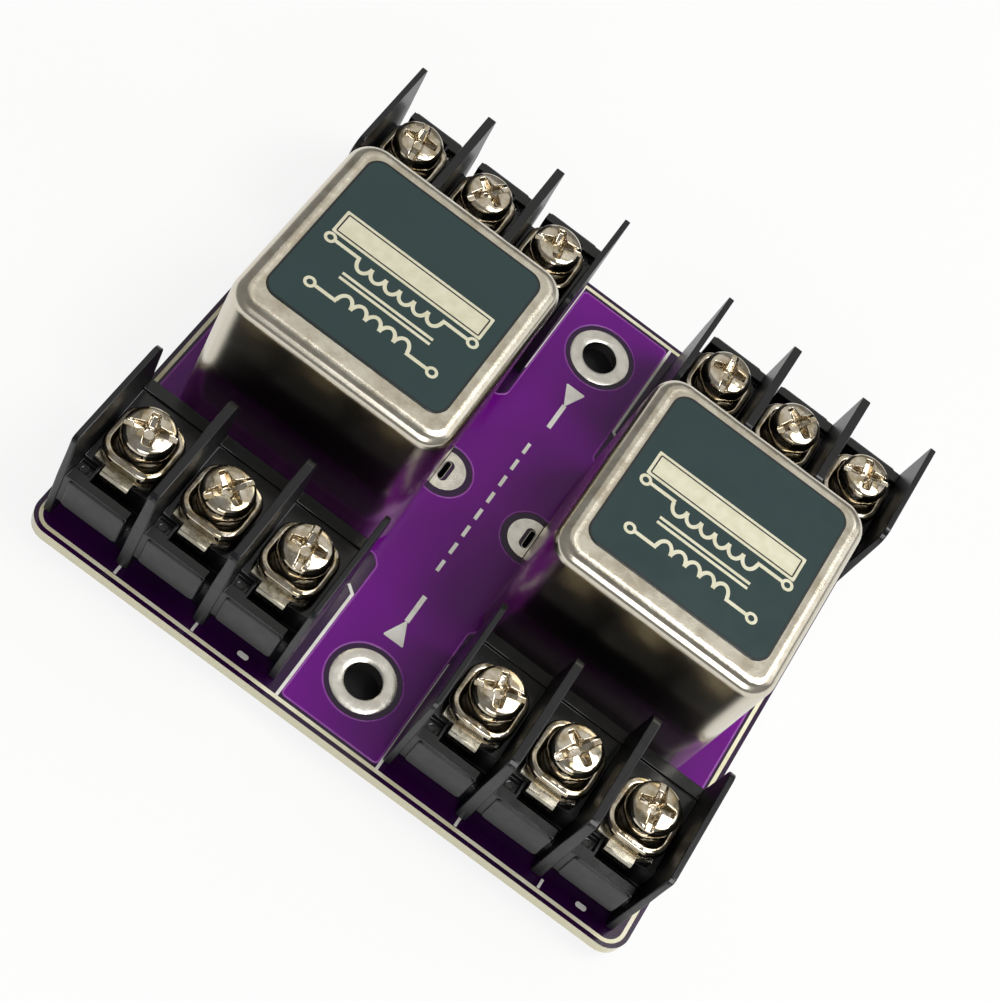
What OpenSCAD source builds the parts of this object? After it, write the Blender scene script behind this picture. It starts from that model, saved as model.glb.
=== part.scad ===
// Audio isolation board: two canned transformers between four screw terminal blocks.
// The origin is midway between the mounting holes on the underside of the board.
// X runs along the board, Y from the front terminals to the back ones, and Z is up.

/* [Board] */
// Thickness of the laminate
board_thickness = 1.6; // [1:0.1:3.2]
// Radius of the board's corners
board_corner = 2.5; // [0.5:0.25:4]
// Width of the free strip between two terminal blocks of one row
block_strip = 13.5; // [11:0.5:24]
// Width of the free strip between the two cans
can_strip = 13.2; // [11:0.2:24]
// Distance from the outermost block or can to the board's end
end_margin = 1.35; // [1:0.05:6]
// Distance from a block's wire face to the board's edge
edge_setback = 2.15; // [0.5:0.05:8]
// Distance from a can to the terminal block beside it
can_gap = 3.7; // [2:0.1:12]
// Shift of the front blocks to the left and of the back blocks to the right
block_shift = 0.55; // [0:0.05:0.9]
// Shift of both cans along the board, negative to the left
can_shift = -0.5; // [-0.9:0.1:0.9]
// Shift of the left can towards the back
left_can_back = 0.7; // [-1:0.1:1]
// Shift of the right can towards the back
right_can_back = 0; // [-1:0.1:1]

/* [Mounting holes] */
// Diameter of a mounting hole inside its plating
mount_hole = 4.2; // [3:0.1:5]
// Diameter of the plated ring around a mounting hole
mount_ring = 7.3; // [6:0.1:9]
// Distance from a mounting hole's centre to the board's edge
mount_inset = 8; // [5.5:0.5:14]
// Thickness of the plating
plating = 0.05; // [0.03:0.01:0.2]

/* [Lug slots] */
// Length of a lug slot
lug_length = 2.5; // [1.5:0.1:4]
// Width of a lug slot
lug_width = 0.65; // [0.4:0.05:0.9]
// Diameter of the round plated pad around a lug slot
lug_pad = 5; // [4:0.1:6]
// Distance from a can's wall to the middle of its lug slot
lug_offset = 0.65; // [0.6:0.05:2]
// Free space between a can's wall and the straight side of its lug pad
lug_gap = 0.1; // [0.05:0.05:0.2]

/* [Transformer core] */
// Width of the core's middle leg
core_leg = 8.2; // [6:0.1:11]
// Width of one winding window
window_width = 4.2; // [3:0.1:6]
// Height of the winding windows
window_height = 11; // [8:0.5:16]
// Depth of the stack of laminations
core_stack = 8.4; // [6:0.2:12]

/* [Windings] */
// Wall of the bobbin's tube and flanges
bobbin_wall = 0.6; // [0.4:0.1:0.9]
// Build-up of the primary winding
primary_build = 1.4; // [0.8:0.1:1.8]
// Thickness of the copper foil screen
foil_thickness = 0.2; // [0.1:0.05:0.3]
// Free space around the coil and the core
coil_clearance = 0.15; // [0.1:0.05:0.3]

/* [Shield can] */
// Depth of the can from front to back
can_depth = 27.2; // [25:0.2:40]
// Wall of the can
can_wall = 0.6; // [0.4:0.1:1]
// Space between the can's wall and what is in it
can_clearance = 0.3; // [0.1:0.1:1]
// Space between the core and the can's top
can_headroom = 0.8; // [0.3:0.1:3]
// Radius of the can's upright corners
can_corner = 3.2; // [2:0.2:5]
// Radius of the can's top edge
can_edge = 1.7; // [0.7:0.1:1.8]

/* [Label] */
// Rim left bare at the label's left and right
label_side_rim = 2.3; // [1.8:0.1:6]
// Rim left bare at the label's front and back
label_front_rim = 2.7; // [1.8:0.1:6]
// Shift of the label towards the back
label_back = 0.5; // [-0.5:0.1:0.5]
// Radius of the label's corners
label_corner = 1.8; // [0.5:0.1:4]
// Thickness of the label film
label_film = 0.12; // [0.05:0.01:0.4]

/* [Header and pins] */
// Thickness of the header plate
header_thickness = 1.6; // [1:0.1:3]
// Diameter of a transformer pin
pin_diameter = 0.8; // [0.6:0.05:1.2]
// Distance between pins of one row
pin_pitch = 5.08; // [3.81:0.01:7.62]
// Distance from a pin row to the header's edge
pin_inset = 3.6; // [2:0.1:4.5]
// Height of a pin above the header, where the winding's ends are wrapped
pin_post = 2; // [1:0.1:2.8]
// Reach of pins and legs below the board
pin_reach = 1.8; // [1.4:0.1:3]
// Free space around a pin or leg in its hole
pin_clearance = 0.1; // [0.05:0.01:0.2]

/* [Terminal block] */
// Distance from one screw to the next
pole_pitch = 9.5; // [8.5:0.5:14]
// Poles in each block
pole_count = 3; // [2:1:5]
// Thickness of the fins between poles
fin_thickness = 1.4; // [0.8:0.1:2]
// Thickness of the two end fins
end_fin = 0.9; // [0.6:0.1:2]
// Height of the fins above the board
fin_height = 15.6; // [14:0.1:24]
// Radius of a fin's inner top corner
fin_round = 1.6; // [0.5:0.1:3]
// Chamfer of a fin's outer top corner
fin_chamfer = 0.4; // [0.1:0.1:1.5]
// Distance from a screw to the wire face
wire_reach = 7.05; // [6.5:0.05:12]
// Distance from a screw to the back of the block
back_reach = 7.5; // [7:0.1:12]
// Height of the seat that carries a contact
seat_height = 8.4; // [7.8:0.1:11]
// Height of the lip at the wire face above the seat
lip_rise = 0.1; // [0.1:0.1:0.6]
// Thickness of the lip at the wire face
lip_thickness = 1.1; // [0.6:0.1:1.4]
// Height of the wire face's lower edge above the board
face_foot = 3.3; // [2:0.1:4]
// How far the foot is set back below the wire face
foot_setback = 1.5; // [0.5:0.1:2.5]
// Width of the slot between a wire face and the fin on its right
face_slot = 0.75; // [0.3:0.05:1.2]
// Height of the back wall above the seat
back_wall_rise = 2.4; // [1:0.1:4]
// Thickness of the back wall
back_wall = 1.5; // [0.8:0.1:2]
// Width of the pocket in front of a contact's left side
pocket_left = 1.9; // [1.8:0.1:3]
// Depth of the pocket below the seat
pocket_depth = 3.4; // [2:0.1:4]
// Depth of the shallow pocket at the left of that one
side_pocket = 0.9; // [0.4:0.1:1.5]
// Wall between the two pockets
pocket_wall = 0.35; // [0.3:0.05:0.5]

/* [Contact] */
// Thickness of a contact
contact_thickness = 0.8; // [0.5:0.1:1]
// Width of a contact's plate
contact_width = 6.4; // [5:0.1:6.8]
// Reach of a contact's plate in front of the screw
contact_front = 3.8; // [3.5:0.1:4]
// Reach of a contact's plate behind the screw
contact_back = 4.4; // [4:0.1:5]
// Reach of a contact's full width behind the screw
contact_shoulder = 2.2; // [2:0.1:3.5]
// Width of a contact's neck behind that
contact_neck = 3; // [2.5:0.1:4]
// Width of a contact's tongue
tongue_width = 3.4; // [2:0.1:3.5]
// Length of a contact's tongue
tongue_length = 0.9; // [0.6:0.1:1.4]
// Drop of the tongue's folded end
tongue_drop = 0.4; // [0.3:0.1:1.5]
// Width of a contact's solder leg
leg_width = 1.2; // [0.8:0.1:2]

/* [Clamp and screw] */
// Width of the square clamp plate
clamp_width = 6.9; // [6:0.1:7]
// Radius of the clamp plate's corners
clamp_corner = 2.2; // [0.7:0.1:2.4]
// Thickness of the clamp plate's floor
clamp_floor = 0.9; // [0.5:0.1:1.2]
// Height of the rim around the clamp plate
clamp_rim_rise = 0.5; // [0.2:0.1:0.6]
// Width of the rim around the clamp plate
clamp_rim = 0.5; // [0.3:0.05:0.6]
// Thickness of the lock washer
lock_thickness = 1.1; // [0.5:0.1:1.4]
// Diameter of the screw's thread
screw_thread = 3; // [2.5:0.1:3.2]
// Diameter of the screw's head
screw_head = 5.6; // [4.8:0.1:5.7]
// Height of the screw's head
head_height = 2.4; // [1.8:0.1:2.8]
// Height of the rounded part of the head
head_crown = 0.9; // [0.4:0.1:1.2]
// Length of the screw below the clamp plate
screw_length = 6; // [4:0.5:7]
// Free space around the screw in its holes
screw_clearance = 0.15; // [0.1:0.05:0.3]
// Width of the cross recess
recess_width = 0.8; // [0.5:0.1:1]
// Span of the cross recess
recess_span = 3.3; // [2:0.1:3.6]
// Depth of the cross recess
recess_depth = 1.3; // [0.8:0.1:1.5]

/* [Solder] */
// Width of the solder foot around a joint
solder_foot = 0.65; // [0.4:0.05:0.9]
// Height of a solder joint below the board
solder_height = 1.2; // [0.8:0.1:1.35]

/* [Hidden] */
$fn = 48;
// Facets of shapes that are hulled
hull_fn = 32;
// Overlap of cuts past the faces that they open
cut = 0.5;
// Pins in each of a transformer's two rows
pins_per_row = 3;
// Width of the gap in a lock washer
lock_gap = 0.5;
// Turn of the first screw's recess and the step from one screw to the next
recess_turn = 18;
recess_step = 41;

core_width = 2 * core_leg + 2 * window_width;
core_height = core_leg + window_height;
header_width = core_width;
header_depth = can_depth - 2 * (can_wall + can_clearance);
can_width = core_width + 2 * (can_clearance + can_wall);
can_height = header_thickness + core_height + can_headroom + can_wall;
yoke = core_leg / 2;

tube_x = core_leg + 2 * coil_clearance;
tube_y = core_stack + 2 * coil_clearance;
bobbin_height = window_height - coil_clearance;
coil_build = window_width - 2 * coil_clearance;
secondary_build = coil_build - bobbin_wall - primary_build - foil_thickness;
core_base = board_thickness + header_thickness;
bobbin_base = core_base + yoke;

cell_half = (pole_pitch - fin_thickness) / 2;
block_length = (pole_count - 1) * pole_pitch + 2 * (cell_half + end_fin);
block_depth = wire_reach + back_reach;
lip_height = seat_height + lip_rise;
back_wall_height = seat_height + back_wall_rise;
foot_reach = wire_reach - foot_setback;
pocket_front = wire_reach - lip_thickness;
pocket_back = contact_front + pin_clearance;

board_half = max(block_strip / 2 + block_length, can_strip / 2 + can_width) + end_margin;
board_length = 2 * board_half;
board_depth = can_depth + 2 * (can_gap + block_depth + edge_setback);
block_x = block_strip / 2 + block_length / 2;
block_y = board_depth / 2 - edge_setback - wire_reach;
can_x = can_strip / 2 + can_width / 2;
mount_y = board_depth / 2 - mount_inset;

left_can = [can_shift - can_x, left_can_back];
right_can = [can_shift + can_x, right_can_back];
pin_row = header_depth / 2 - pin_inset;
lug_x = can_width / 2 + lug_offset;

plate_base = seat_height;
clamp_base = plate_base + contact_thickness;
lock_base = clamp_base + clamp_floor;
head_base = lock_base + lock_thickness;
shank_radius = screw_thread / 2;
shank_hole = shank_radius + screw_clearance;
leg_y = contact_back - contact_thickness / 2;
leg_hole = norm([leg_width, contact_thickness]) / 2 + pin_clearance;
pin_hole = pin_diameter / 2 + pin_clearance;

// Places

// Puts a terminal block's pieces on the board. The blocks face outwards, so the back ones are turned.
module front_left() {
  translate([-block_x - block_shift, -block_y, board_thickness]) children();
}

module front_right() {
  translate([block_x - block_shift, -block_y, board_thickness]) children();
}

module back_left() {
  translate([-block_x + block_shift, block_y, board_thickness]) rotate(180) children();
}

module back_right() {
  translate([block_x + block_shift, block_y, board_thickness]) rotate(180) children();
}

module every_block() {
  front_left() children();
  front_right() children();
  back_left() children();
  back_right() children();
}

module every_pole() {
  for (pole = [0 : pole_count - 1])
    translate([(pole - (pole_count - 1) / 2) * pole_pitch, 0, 0]) children();
}

module every_leg() {
  every_block() every_pole() translate([0, leg_y, 0]) children();
}

module at_can(place) {
  translate([place[0], place[1], 0]) children();
}

module pin_places() {
  for (row = [-1, 1], column = [0 : pins_per_row - 1])
    translate([(column - (pins_per_row - 1) / 2) * pin_pitch, row * pin_row, 0]) children();
}

// The lug slots lie on the sides of the cans that face each other.
module lug_places() {
  at_can(left_can) translate([lug_x, 0, 0]) children();
  at_can(right_can) translate([-lug_x, 0, 0]) rotate(180) children();
}

module mount_places() {
  for (side = [-1, 1]) translate([0, side * mount_y, 0]) children();
}

// Outlines

module rounded_rectangle(width, depth, radius) {
  square([width - 2 * radius, depth], center = true);
  square([width, depth - 2 * radius], center = true);
  for (x = [-1, 1], y = [-1, 1])
    translate([x * (width / 2 - radius), y * (depth / 2 - radius)]) circle(radius);
}

module stadium(length, width) {
  square([width, length - width], center = true);
  for (end = [-1, 1]) translate([0, end * (length - width) / 2]) circle(width / 2);
}

// A rectangular ring of even thickness around a middle of the given size
module square_ring(inner_x, inner_y, build) {
  difference() {
    square([inner_x + 2 * build, inner_y + 2 * build], center = true);
    square([inner_x, inner_y], center = true);
  }
}

// Board pieces

module circuit_board() {
  color("purple")
  difference() {
    linear_extrude(board_thickness) rounded_rectangle(board_length, board_depth, board_corner);
    mount_places() board_hole(mount_hole / 2 + plating);
    every_leg() translate([0, 0, -board_thickness]) board_hole(leg_hole);
    for (place = [left_can, right_can]) at_can(place) pin_places() board_hole(pin_hole);
    lug_places() translate([0, 0, -cut])
      linear_extrude(board_thickness + 2 * cut)
        stadium(lug_length + 2 * plating, lug_width + 2 * plating);
  }
}

module board_hole(radius) {
  translate([0, 0, -cut]) cylinder(r = radius, h = board_thickness + 2 * cut);
}

module mounting_eyelets() {
  color("silver")
  mount_places() difference() {
    union() {
      cylinder(d = mount_hole + 2 * plating, h = board_thickness);
      for (z = [-plating, board_thickness]) translate([0, 0, z]) cylinder(d = mount_ring, h = plating);
    }
    translate([0, 0, -cut]) cylinder(d = mount_hole, h = board_thickness + 2 * cut);
  }
}

module lug_slot_plating() {
  color("silver")
  lug_places() difference() {
    union() {
      linear_extrude(board_thickness) stadium(lug_length + 2 * plating, lug_width + 2 * plating);
      for (z = [-plating, board_thickness]) translate([0, 0, z]) linear_extrude(plating) lug_outline();
    }
    translate([0, 0, -cut]) linear_extrude(board_thickness + 2 * cut) stadium(lug_length, lug_width);
  }
}

// A round pad cut straight on the side of the can
module lug_outline() {
  difference() {
    circle(d = lug_pad);
    translate([lug_gap - lug_offset - lug_pad, -lug_pad]) square([lug_pad, 2 * lug_pad]);
  }
}

// Transformer pieces

module can() {
  color("gainsboro")
  translate([0, 0, board_thickness]) difference() {
    rounded_block(can_width, can_depth, can_height, can_corner, can_edge);
    translate([0, 0, -cut])
      rounded_block(can_width - 2 * can_wall, can_depth - 2 * can_wall, can_height - can_wall + cut,
        can_corner - can_wall, can_edge - can_wall);
  }
}

// A block with round upright corners and a round top edge
module rounded_block(width, depth, height, corner, edge) {
  hull()
    for (x = [-1, 1], y = [-1, 1])
      translate([x * (width / 2 - corner), y * (depth / 2 - corner), 0])
        round_post(corner, height, edge);
}

module round_post(radius, height, edge) {
  cylinder(r = radius, h = height - edge, $fn = hull_fn);
  translate([0, 0, height - edge])
    rotate_extrude($fn = hull_fn) intersection() {
      translate([radius - edge, 0]) circle(edge, $fn = hull_fn);
      square([radius, edge]);
    }
}

module label() {
  color("darkslategray")
  translate([0, label_back, board_thickness + can_height])
    linear_extrude(label_film)
      rounded_rectangle(can_width - 2 * label_side_rim, can_depth - 2 * label_front_rim, label_corner);
}

module header() {
  color("peru")
  translate([0, 0, board_thickness]) difference() {
    linear_extrude(header_thickness)
      rounded_rectangle(header_width, header_depth, can_corner - can_wall - can_clearance);
    pin_places() translate([0, 0, -cut])
      cylinder(d = pin_diameter, h = header_thickness + 2 * cut);
  }
}

module pins() {
  color("khaki")
  pin_places() translate([0, 0, -pin_reach])
    cylinder(d = pin_diameter, h = pin_reach + core_base + pin_post);
}

module core() {
  color("dimgray")
  translate([0, 0, core_base]) rotate([90, 0, 0])
    linear_extrude(core_stack, center = true) difference() {
      translate([-core_width / 2, 0]) square([core_width, core_height]);
      for (side = [-1, 1])
        translate([side * (core_leg + window_width) / 2, yoke + window_height / 2])
          square([window_width, window_height], center = true);
    }
}

module bobbin() {
  color("ivory")
  translate([0, 0, bobbin_base]) {
    coil_layer(0, bobbin_wall, 0, bobbin_height);
    for (z = [0, bobbin_height - bobbin_wall]) coil_layer(0, coil_build, z, bobbin_wall);
  }
}

// One layer of the coil around the middle leg, from an inner build-up outwards
module coil_layer(inner, build, base, height) {
  translate([0, 0, base]) linear_extrude(height)
    square_ring(tube_x + 2 * inner, tube_y + 2 * inner, build);
}

// A winding fills the bobbin between its flanges.
module winding(inner, build) {
  translate([0, 0, bobbin_base])
    coil_layer(inner, build, bobbin_wall, bobbin_height - 2 * bobbin_wall);
}

module primary_winding() {
  color("chocolate") winding(bobbin_wall, primary_build);
}

module foil_screen() {
  color("orange") winding(bobbin_wall + primary_build, foil_thickness);
}

module secondary_winding() {
  color("sienna") winding(bobbin_wall + primary_build + foil_thickness, secondary_build);
}

// Terminal block pieces

module housing() {
  color("black")
  difference() {
    union() {
      housing_body();
      housing_fins();
    }
    every_pole() housing_cavities();
  }
}

// The body between the fins: foot, seat, lip and back wall
module housing_body() {
  along_block(block_length) polygon([
    [back_reach, 0],
    [back_reach, back_wall_height],
    [back_reach - back_wall, back_wall_height],
    [back_reach - back_wall, seat_height],
    [-pocket_back, seat_height],
    [-pocket_back, lip_height],
    [-wire_reach, lip_height],
    [-wire_reach, face_foot],
    [-foot_reach, face_foot],
    [-foot_reach, 0]
  ]);
}

// Extrudes a side view, drawn as Y and Z, along the block and centres it.
module along_block(length) {
  translate([-length / 2, 0, 0]) rotate([90, 0, 90]) linear_extrude(length) children();
}

module housing_fins() {
  for (gap = [1 : 1 : pole_count - 1])
    translate([(gap - pole_count / 2) * pole_pitch, 0, 0]) along_block(fin_thickness) fin_outline();
  for (end = [-1, 1])
    translate([end * (block_length - end_fin) / 2, 0, 0]) along_block(end_fin) fin_outline();
}

module fin_outline() {
  difference() {
    translate([-wire_reach, 0]) square([block_depth, fin_height]);
    translate([back_reach - fin_round, fin_height - fin_round]) difference() {
      square(fin_round + cut);
      circle(fin_round);
    }
    polygon([
      [-wire_reach - cut, fin_height - fin_chamfer - cut],
      [-wire_reach - cut, fin_height + cut],
      [-wire_reach + fin_chamfer + cut, fin_height + cut]
    ]);
  }
}

// Room in the body for one contact's leg, its screw and tongue, with the pocket and slot beside them
module housing_cavities() {
  translate([-leg_width / 2 - pin_clearance, leg_y - contact_thickness / 2 - pin_clearance, -cut])
    cube([leg_width + 2 * pin_clearance, contact_thickness + 2 * pin_clearance, seat_height + 2 * cut]);
  translate([0, 0, head_base - lock_thickness - clamp_floor - screw_length - screw_clearance])
    cylinder(r = shank_hole, h = screw_length + contact_thickness + cut);
  translate([-pocket_left, -pocket_front, seat_height - pocket_depth])
    cube([pocket_left + cell_half, pocket_front - pocket_back, pocket_depth + lip_rise + cut]);
  translate([-cell_half, pocket_wall - pocket_front, lip_height - side_pocket])
    cube([cell_half - pocket_left - pocket_wall, pocket_front - pocket_back - pocket_wall, side_pocket + cut]);
  translate([cell_half - face_slot, -wire_reach - cut, face_foot - cut])
    cube([face_slot, lip_thickness + cut, lip_height - face_foot + 2 * cut]);
}

module contacts() {
  color("lightgray") every_pole() contact();
}

// A flat plate with a folded tongue in front and a leg folded down behind
module contact() {
  difference() {
    translate([-contact_width / 2, -contact_front, plate_base])
      cube([contact_width, contact_front + contact_shoulder, contact_thickness]);
    translate([0, 0, plate_base - cut]) cylinder(r = shank_hole, h = contact_thickness + 2 * cut);
  }
  difference() {
    translate([-contact_neck / 2, 0, plate_base]) cube([contact_neck, contact_back, contact_thickness]);
    translate([0, 0, plate_base - cut]) cylinder(r = shank_hole, h = contact_thickness + 2 * cut);
  }
  along_block(tongue_width) polygon([
    [-contact_front, plate_base],
    [-contact_front, clamp_base],
    [-contact_front - tongue_length, clamp_base],
    [-contact_front - tongue_length - tongue_drop / 2, clamp_base - tongue_drop],
    [-contact_front - tongue_length - tongue_drop / 2, plate_base - tongue_drop],
    [-contact_front - tongue_length, plate_base]
  ]);
  translate([-leg_width / 2, leg_y - contact_thickness / 2, -board_thickness - pin_reach])
    cube([leg_width, contact_thickness, board_thickness + pin_reach + plate_base]);
}

module clamps() {
  color("lightgray") every_pole() translate([0, 0, clamp_base]) difference() {
    linear_extrude(clamp_floor + clamp_rim_rise)
      rounded_rectangle(clamp_width, clamp_width, clamp_corner);
    translate([0, 0, clamp_floor]) linear_extrude(clamp_rim_rise + cut)
      rounded_rectangle(clamp_width - 2 * clamp_rim, clamp_width - 2 * clamp_rim, clamp_corner - clamp_rim);
    translate([0, 0, -cut]) cylinder(r = shank_hole, h = clamp_floor + 2 * cut);
  }
}

module lock_washers() {
  color("darkgray") every_pole() translate([0, 0, lock_base]) difference() {
    cylinder(d = screw_head - 2 * screw_clearance, h = lock_thickness);
    translate([0, 0, -cut]) cylinder(r = shank_hole, h = lock_thickness + 2 * cut);
    translate([0, -lock_gap / 2, -cut]) cube([screw_head, lock_gap, lock_thickness + 2 * cut]);
  }
}

module screws() {
  color("whitesmoke")
  for (pole = [0 : pole_count - 1])
    translate([(pole - (pole_count - 1) / 2) * pole_pitch, 0, head_base])
      rotate(recess_turn + pole * recess_step) screw();
}

// A pan head screw: its crown is a slice of a sphere.
module screw() {
  crown_radius = (pow(screw_head / 2, 2) + pow(head_crown, 2)) / (2 * head_crown);
  difference() {
    intersection() {
      cylinder(d = screw_head, h = head_height);
      translate([0, 0, head_height - crown_radius]) sphere(crown_radius, $fn = 96);
    }
    for (turn = [0, 90]) rotate(turn)
      translate([-recess_span / 2, -recess_width / 2, head_height - recess_depth])
        cube([recess_span, recess_width, recess_depth + cut]);
  }
  translate([0, 0, -lock_thickness - clamp_floor - screw_length])
    cylinder(r = shank_radius, h = screw_length + clamp_floor + lock_thickness);
}

// Solder

module terminal_solder() {
  color("silver") every_leg() translate([0, 0, -board_thickness]) difference() {
    solder_cone(leg_hole);
    translate([-leg_width / 2, -contact_thickness / 2, -pin_reach])
      cube([leg_width, contact_thickness, pin_reach + cut]);
  }
}

module transformer_solder() {
  color("silver")
  for (place = [left_can, right_can]) at_can(place) pin_places() difference() {
    solder_cone(pin_hole);
    translate([0, 0, -pin_reach]) cylinder(d = pin_diameter, h = pin_reach + cut);
  }
}

// A joint that narrows from its foot on the board to its tip on the pin
module solder_cone(tip) {
  translate([0, 0, -solder_height])
    cylinder(r1 = tip, r2 = tip + solder_foot, h = solder_height);
}

circuit_board();
mounting_eyelets();
lug_slot_plating();
at_can(left_can) can();
at_can(left_can) label();  // left_label
at_can(left_can) header();  // left_header
at_can(left_can) pins();  // left_pins
at_can(left_can) core();  // left_core
at_can(left_can) bobbin();  // left_bobbin
at_can(left_can) primary_winding();  // left_primary_winding
at_can(left_can) foil_screen();  // left_foil_screen
at_can(left_can) secondary_winding();  // left_secondary_winding
at_can(right_can) can();
at_can(right_can) label();  // right_label
at_can(right_can) header();  // right_header
at_can(right_can) pins();  // right_pins
at_can(right_can) core();  // right_core
at_can(right_can) bobbin();  // right_bobbin
at_can(right_can) primary_winding();  // right_primary_winding
at_can(right_can) foil_screen();  // right_foil_screen
at_can(right_can) secondary_winding();  // right_secondary_winding
front_left() housing();  // front_left_housing
front_left() contacts();  // front_left_contacts
front_left() clamps();  // front_left_clamps
front_left() lock_washers();  // front_left_lock_washers
front_left() screws();  // front_left_screws
front_right() housing();  // front_right_housing
front_right() contacts();  // front_right_contacts
front_right() clamps();  // front_right_clamps
front_right() lock_washers();  // front_right_lock_washers
front_right() screws();  // front_right_screws
back_left() housing();  // back_left_housing
back_left() contacts();  // back_left_contacts
back_left() clamps();  // back_left_clamps
back_left() lock_washers();  // back_left_lock_washers
back_left() screws();  // back_left_screws
back_right() housing();  // back_right_housing
back_right() contacts();  // back_right_contacts
back_right() clamps();  // back_right_clamps
back_right() lock_washers();  // back_right_lock_washers
back_right() screws();  // back_right_screws
terminal_solder();
transformer_solder();
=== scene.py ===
"""Looks of an audio isolation board: two canned transformers between four screw terminal blocks.

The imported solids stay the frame. Each class below holds the sizes of one sub-assembly, builds finer
meshes on those solids and dresses them. Lengths are millimetres unless a name says otherwise.
"""

from __future__ import annotations

import logging
import math
from dataclasses import dataclass
from enum import Enum
from typing import Any, Callable, Iterable, Sequence

import bmesh
import bpy
from mathutils import Matrix, Vector
from mathutils.geometry import delaunay_2d_cdt


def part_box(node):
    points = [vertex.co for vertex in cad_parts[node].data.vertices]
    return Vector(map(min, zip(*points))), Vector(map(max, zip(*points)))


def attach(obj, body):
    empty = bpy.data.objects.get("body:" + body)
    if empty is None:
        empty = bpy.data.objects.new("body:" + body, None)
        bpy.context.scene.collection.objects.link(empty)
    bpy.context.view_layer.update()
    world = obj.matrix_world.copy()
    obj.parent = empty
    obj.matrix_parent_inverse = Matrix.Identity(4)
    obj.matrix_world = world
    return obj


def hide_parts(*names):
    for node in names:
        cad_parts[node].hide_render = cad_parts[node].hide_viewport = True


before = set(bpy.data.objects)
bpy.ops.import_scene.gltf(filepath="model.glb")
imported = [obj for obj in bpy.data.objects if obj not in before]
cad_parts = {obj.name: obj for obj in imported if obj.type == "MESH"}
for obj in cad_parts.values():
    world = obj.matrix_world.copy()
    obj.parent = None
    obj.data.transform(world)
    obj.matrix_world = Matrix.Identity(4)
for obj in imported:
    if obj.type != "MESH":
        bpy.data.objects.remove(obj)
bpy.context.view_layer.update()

LOG = logging.getLogger("isolation_board")
MM = 0.001
BODY = "root"
# A length too small to see, which keeps a ring or a straight side from closing up.
HAIR = 0.001

Point2 = tuple[float, float]
Point3 = tuple[float, float, float]
Colour = tuple[float, float, float, float]
Socket = bpy.types.NodeSocket
Reshape = Callable[[Vector], Vector]


class Side(Enum):
    """The two channels, left and right of the mounting holes."""

    LEFT = "left"
    RIGHT = "right"


class Row(Enum):
    """The two rows of terminal blocks, by the edge that their wires leave from."""

    FRONT = "front"
    BACK = "back"


# Colour and node helpers

# Numbers of the mix node's inputs, whose names repeat for each kind of value.
SHARE, FIRST_VALUE, SECOND_VALUE, FIRST_COLOUR, SECOND_COLOUR = 0, 2, 3, 6, 7
# The mix node's setting for colours, with the number of the output that gives them.
OF_COLOURS: dict[str, Any] = {"out": 2, "data_type": "RGBA"}
# Noise seldom leaves these values, so a ramp between them spreads it from 0 to 1.
CLOUD_RAMP = {"From Min": 0.36, "From Max": 0.64}
PATCH_RAMP = {"From Min": 0.34, "From Max": 0.66}
# Gloss changes in patches of this share of the clouds' size.
PATCH_SHARE = 0.45
# One band of a wave texture is about this part of a unit wide.
BANDS_PER_UNIT = 6.3


def linear(hex_colour: str) -> Colour:
    """Turns an sRGB hex colour into the linear colour that a shader takes.

    Args:
        hex_colour: Six hex digits with a leading hash.

    Returns:
        Linear red, green, blue and an alpha of 1.
    """
    channels = [int(hex_colour[i : i + 2], 16) / 255 for i in (1, 3, 5)]
    red, green, blue = (c / 12.92 if c <= 0.04045 else ((c + 0.055) / 1.055) ** 2.4 for c in channels)
    return (red, green, blue, 1.0)


def per_mm(size: float) -> float:
    """Returns the texture scale at which one feature is this many millimetres wide."""
    return 1.0 / (size * MM)


class Canvas:
    """A material in the making: its node tree, its surface shader and the place on the object, in metres."""

    def __init__(self, name: str) -> None:
        """Starts a material that shows one plain surface shader.

        Args:
            name: The material's name.
        """
        self.material = bpy.data.materials.new(name)
        self.material.use_nodes = True
        self.tree = self.material.node_tree
        self.tree.nodes.clear()
        self.sink = self.tree.nodes.new("ShaderNodeOutputMaterial")
        self.shader = self.add("ShaderNodeBsdfPrincipled").node
        self.tree.links.new(self.shader.outputs["BSDF"], self.sink.inputs["Surface"])
        self.place = self.add("ShaderNodeTexCoord", out="Object")

    def add(
        self, kind: str, inputs: dict[Any, Any] | None = None, out: int | str = 0, **settings: Any
    ) -> Socket:
        """Adds a node with its settings, and links or sets its inputs.

        Args:
            kind: Blender's name for the node type.
            inputs: Input names or numbers, each with a socket to link or a value to set.
            out: Name or number of the output to return.
            **settings: Properties of the node itself.

        Returns:
            The chosen output of the new node.
        """
        node = self.tree.nodes.new(kind)
        for name, value in settings.items():
            setattr(node, name, value)
        for key, value in (inputs or {}).items():
            if isinstance(value, Socket):
                self.tree.links.new(value, node.inputs[key])
            else:
                node.inputs[key].default_value = value
        return node.outputs[out]

    def feed(self, name: str, source: Socket) -> None:
        """Links a source to one of the surface shader's inputs."""
        self.tree.links.new(source, self.shader.inputs[name])

    def flatness(self, none: float, full: float) -> Socket:
        """Measures how flat the surface lies.

        Args:
            none: Height of the normal at which the result is 0.
            full: Height of the normal at which the result is 1.

        Returns:
            1 on floors and ceilings, 0 on walls.
        """
        facing = self.add("ShaderNodeNewGeometry", out="True Normal")
        upward = self.add("ShaderNodeSeparateXYZ", {"Vector": facing}, "Z")
        flat = self.add("ShaderNodeMath", {0: upward}, operation="ABSOLUTE")
        return self.add("ShaderNodeMapRange", {"Value": flat, "From Min": none, "From Max": full})


# Finishes


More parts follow.
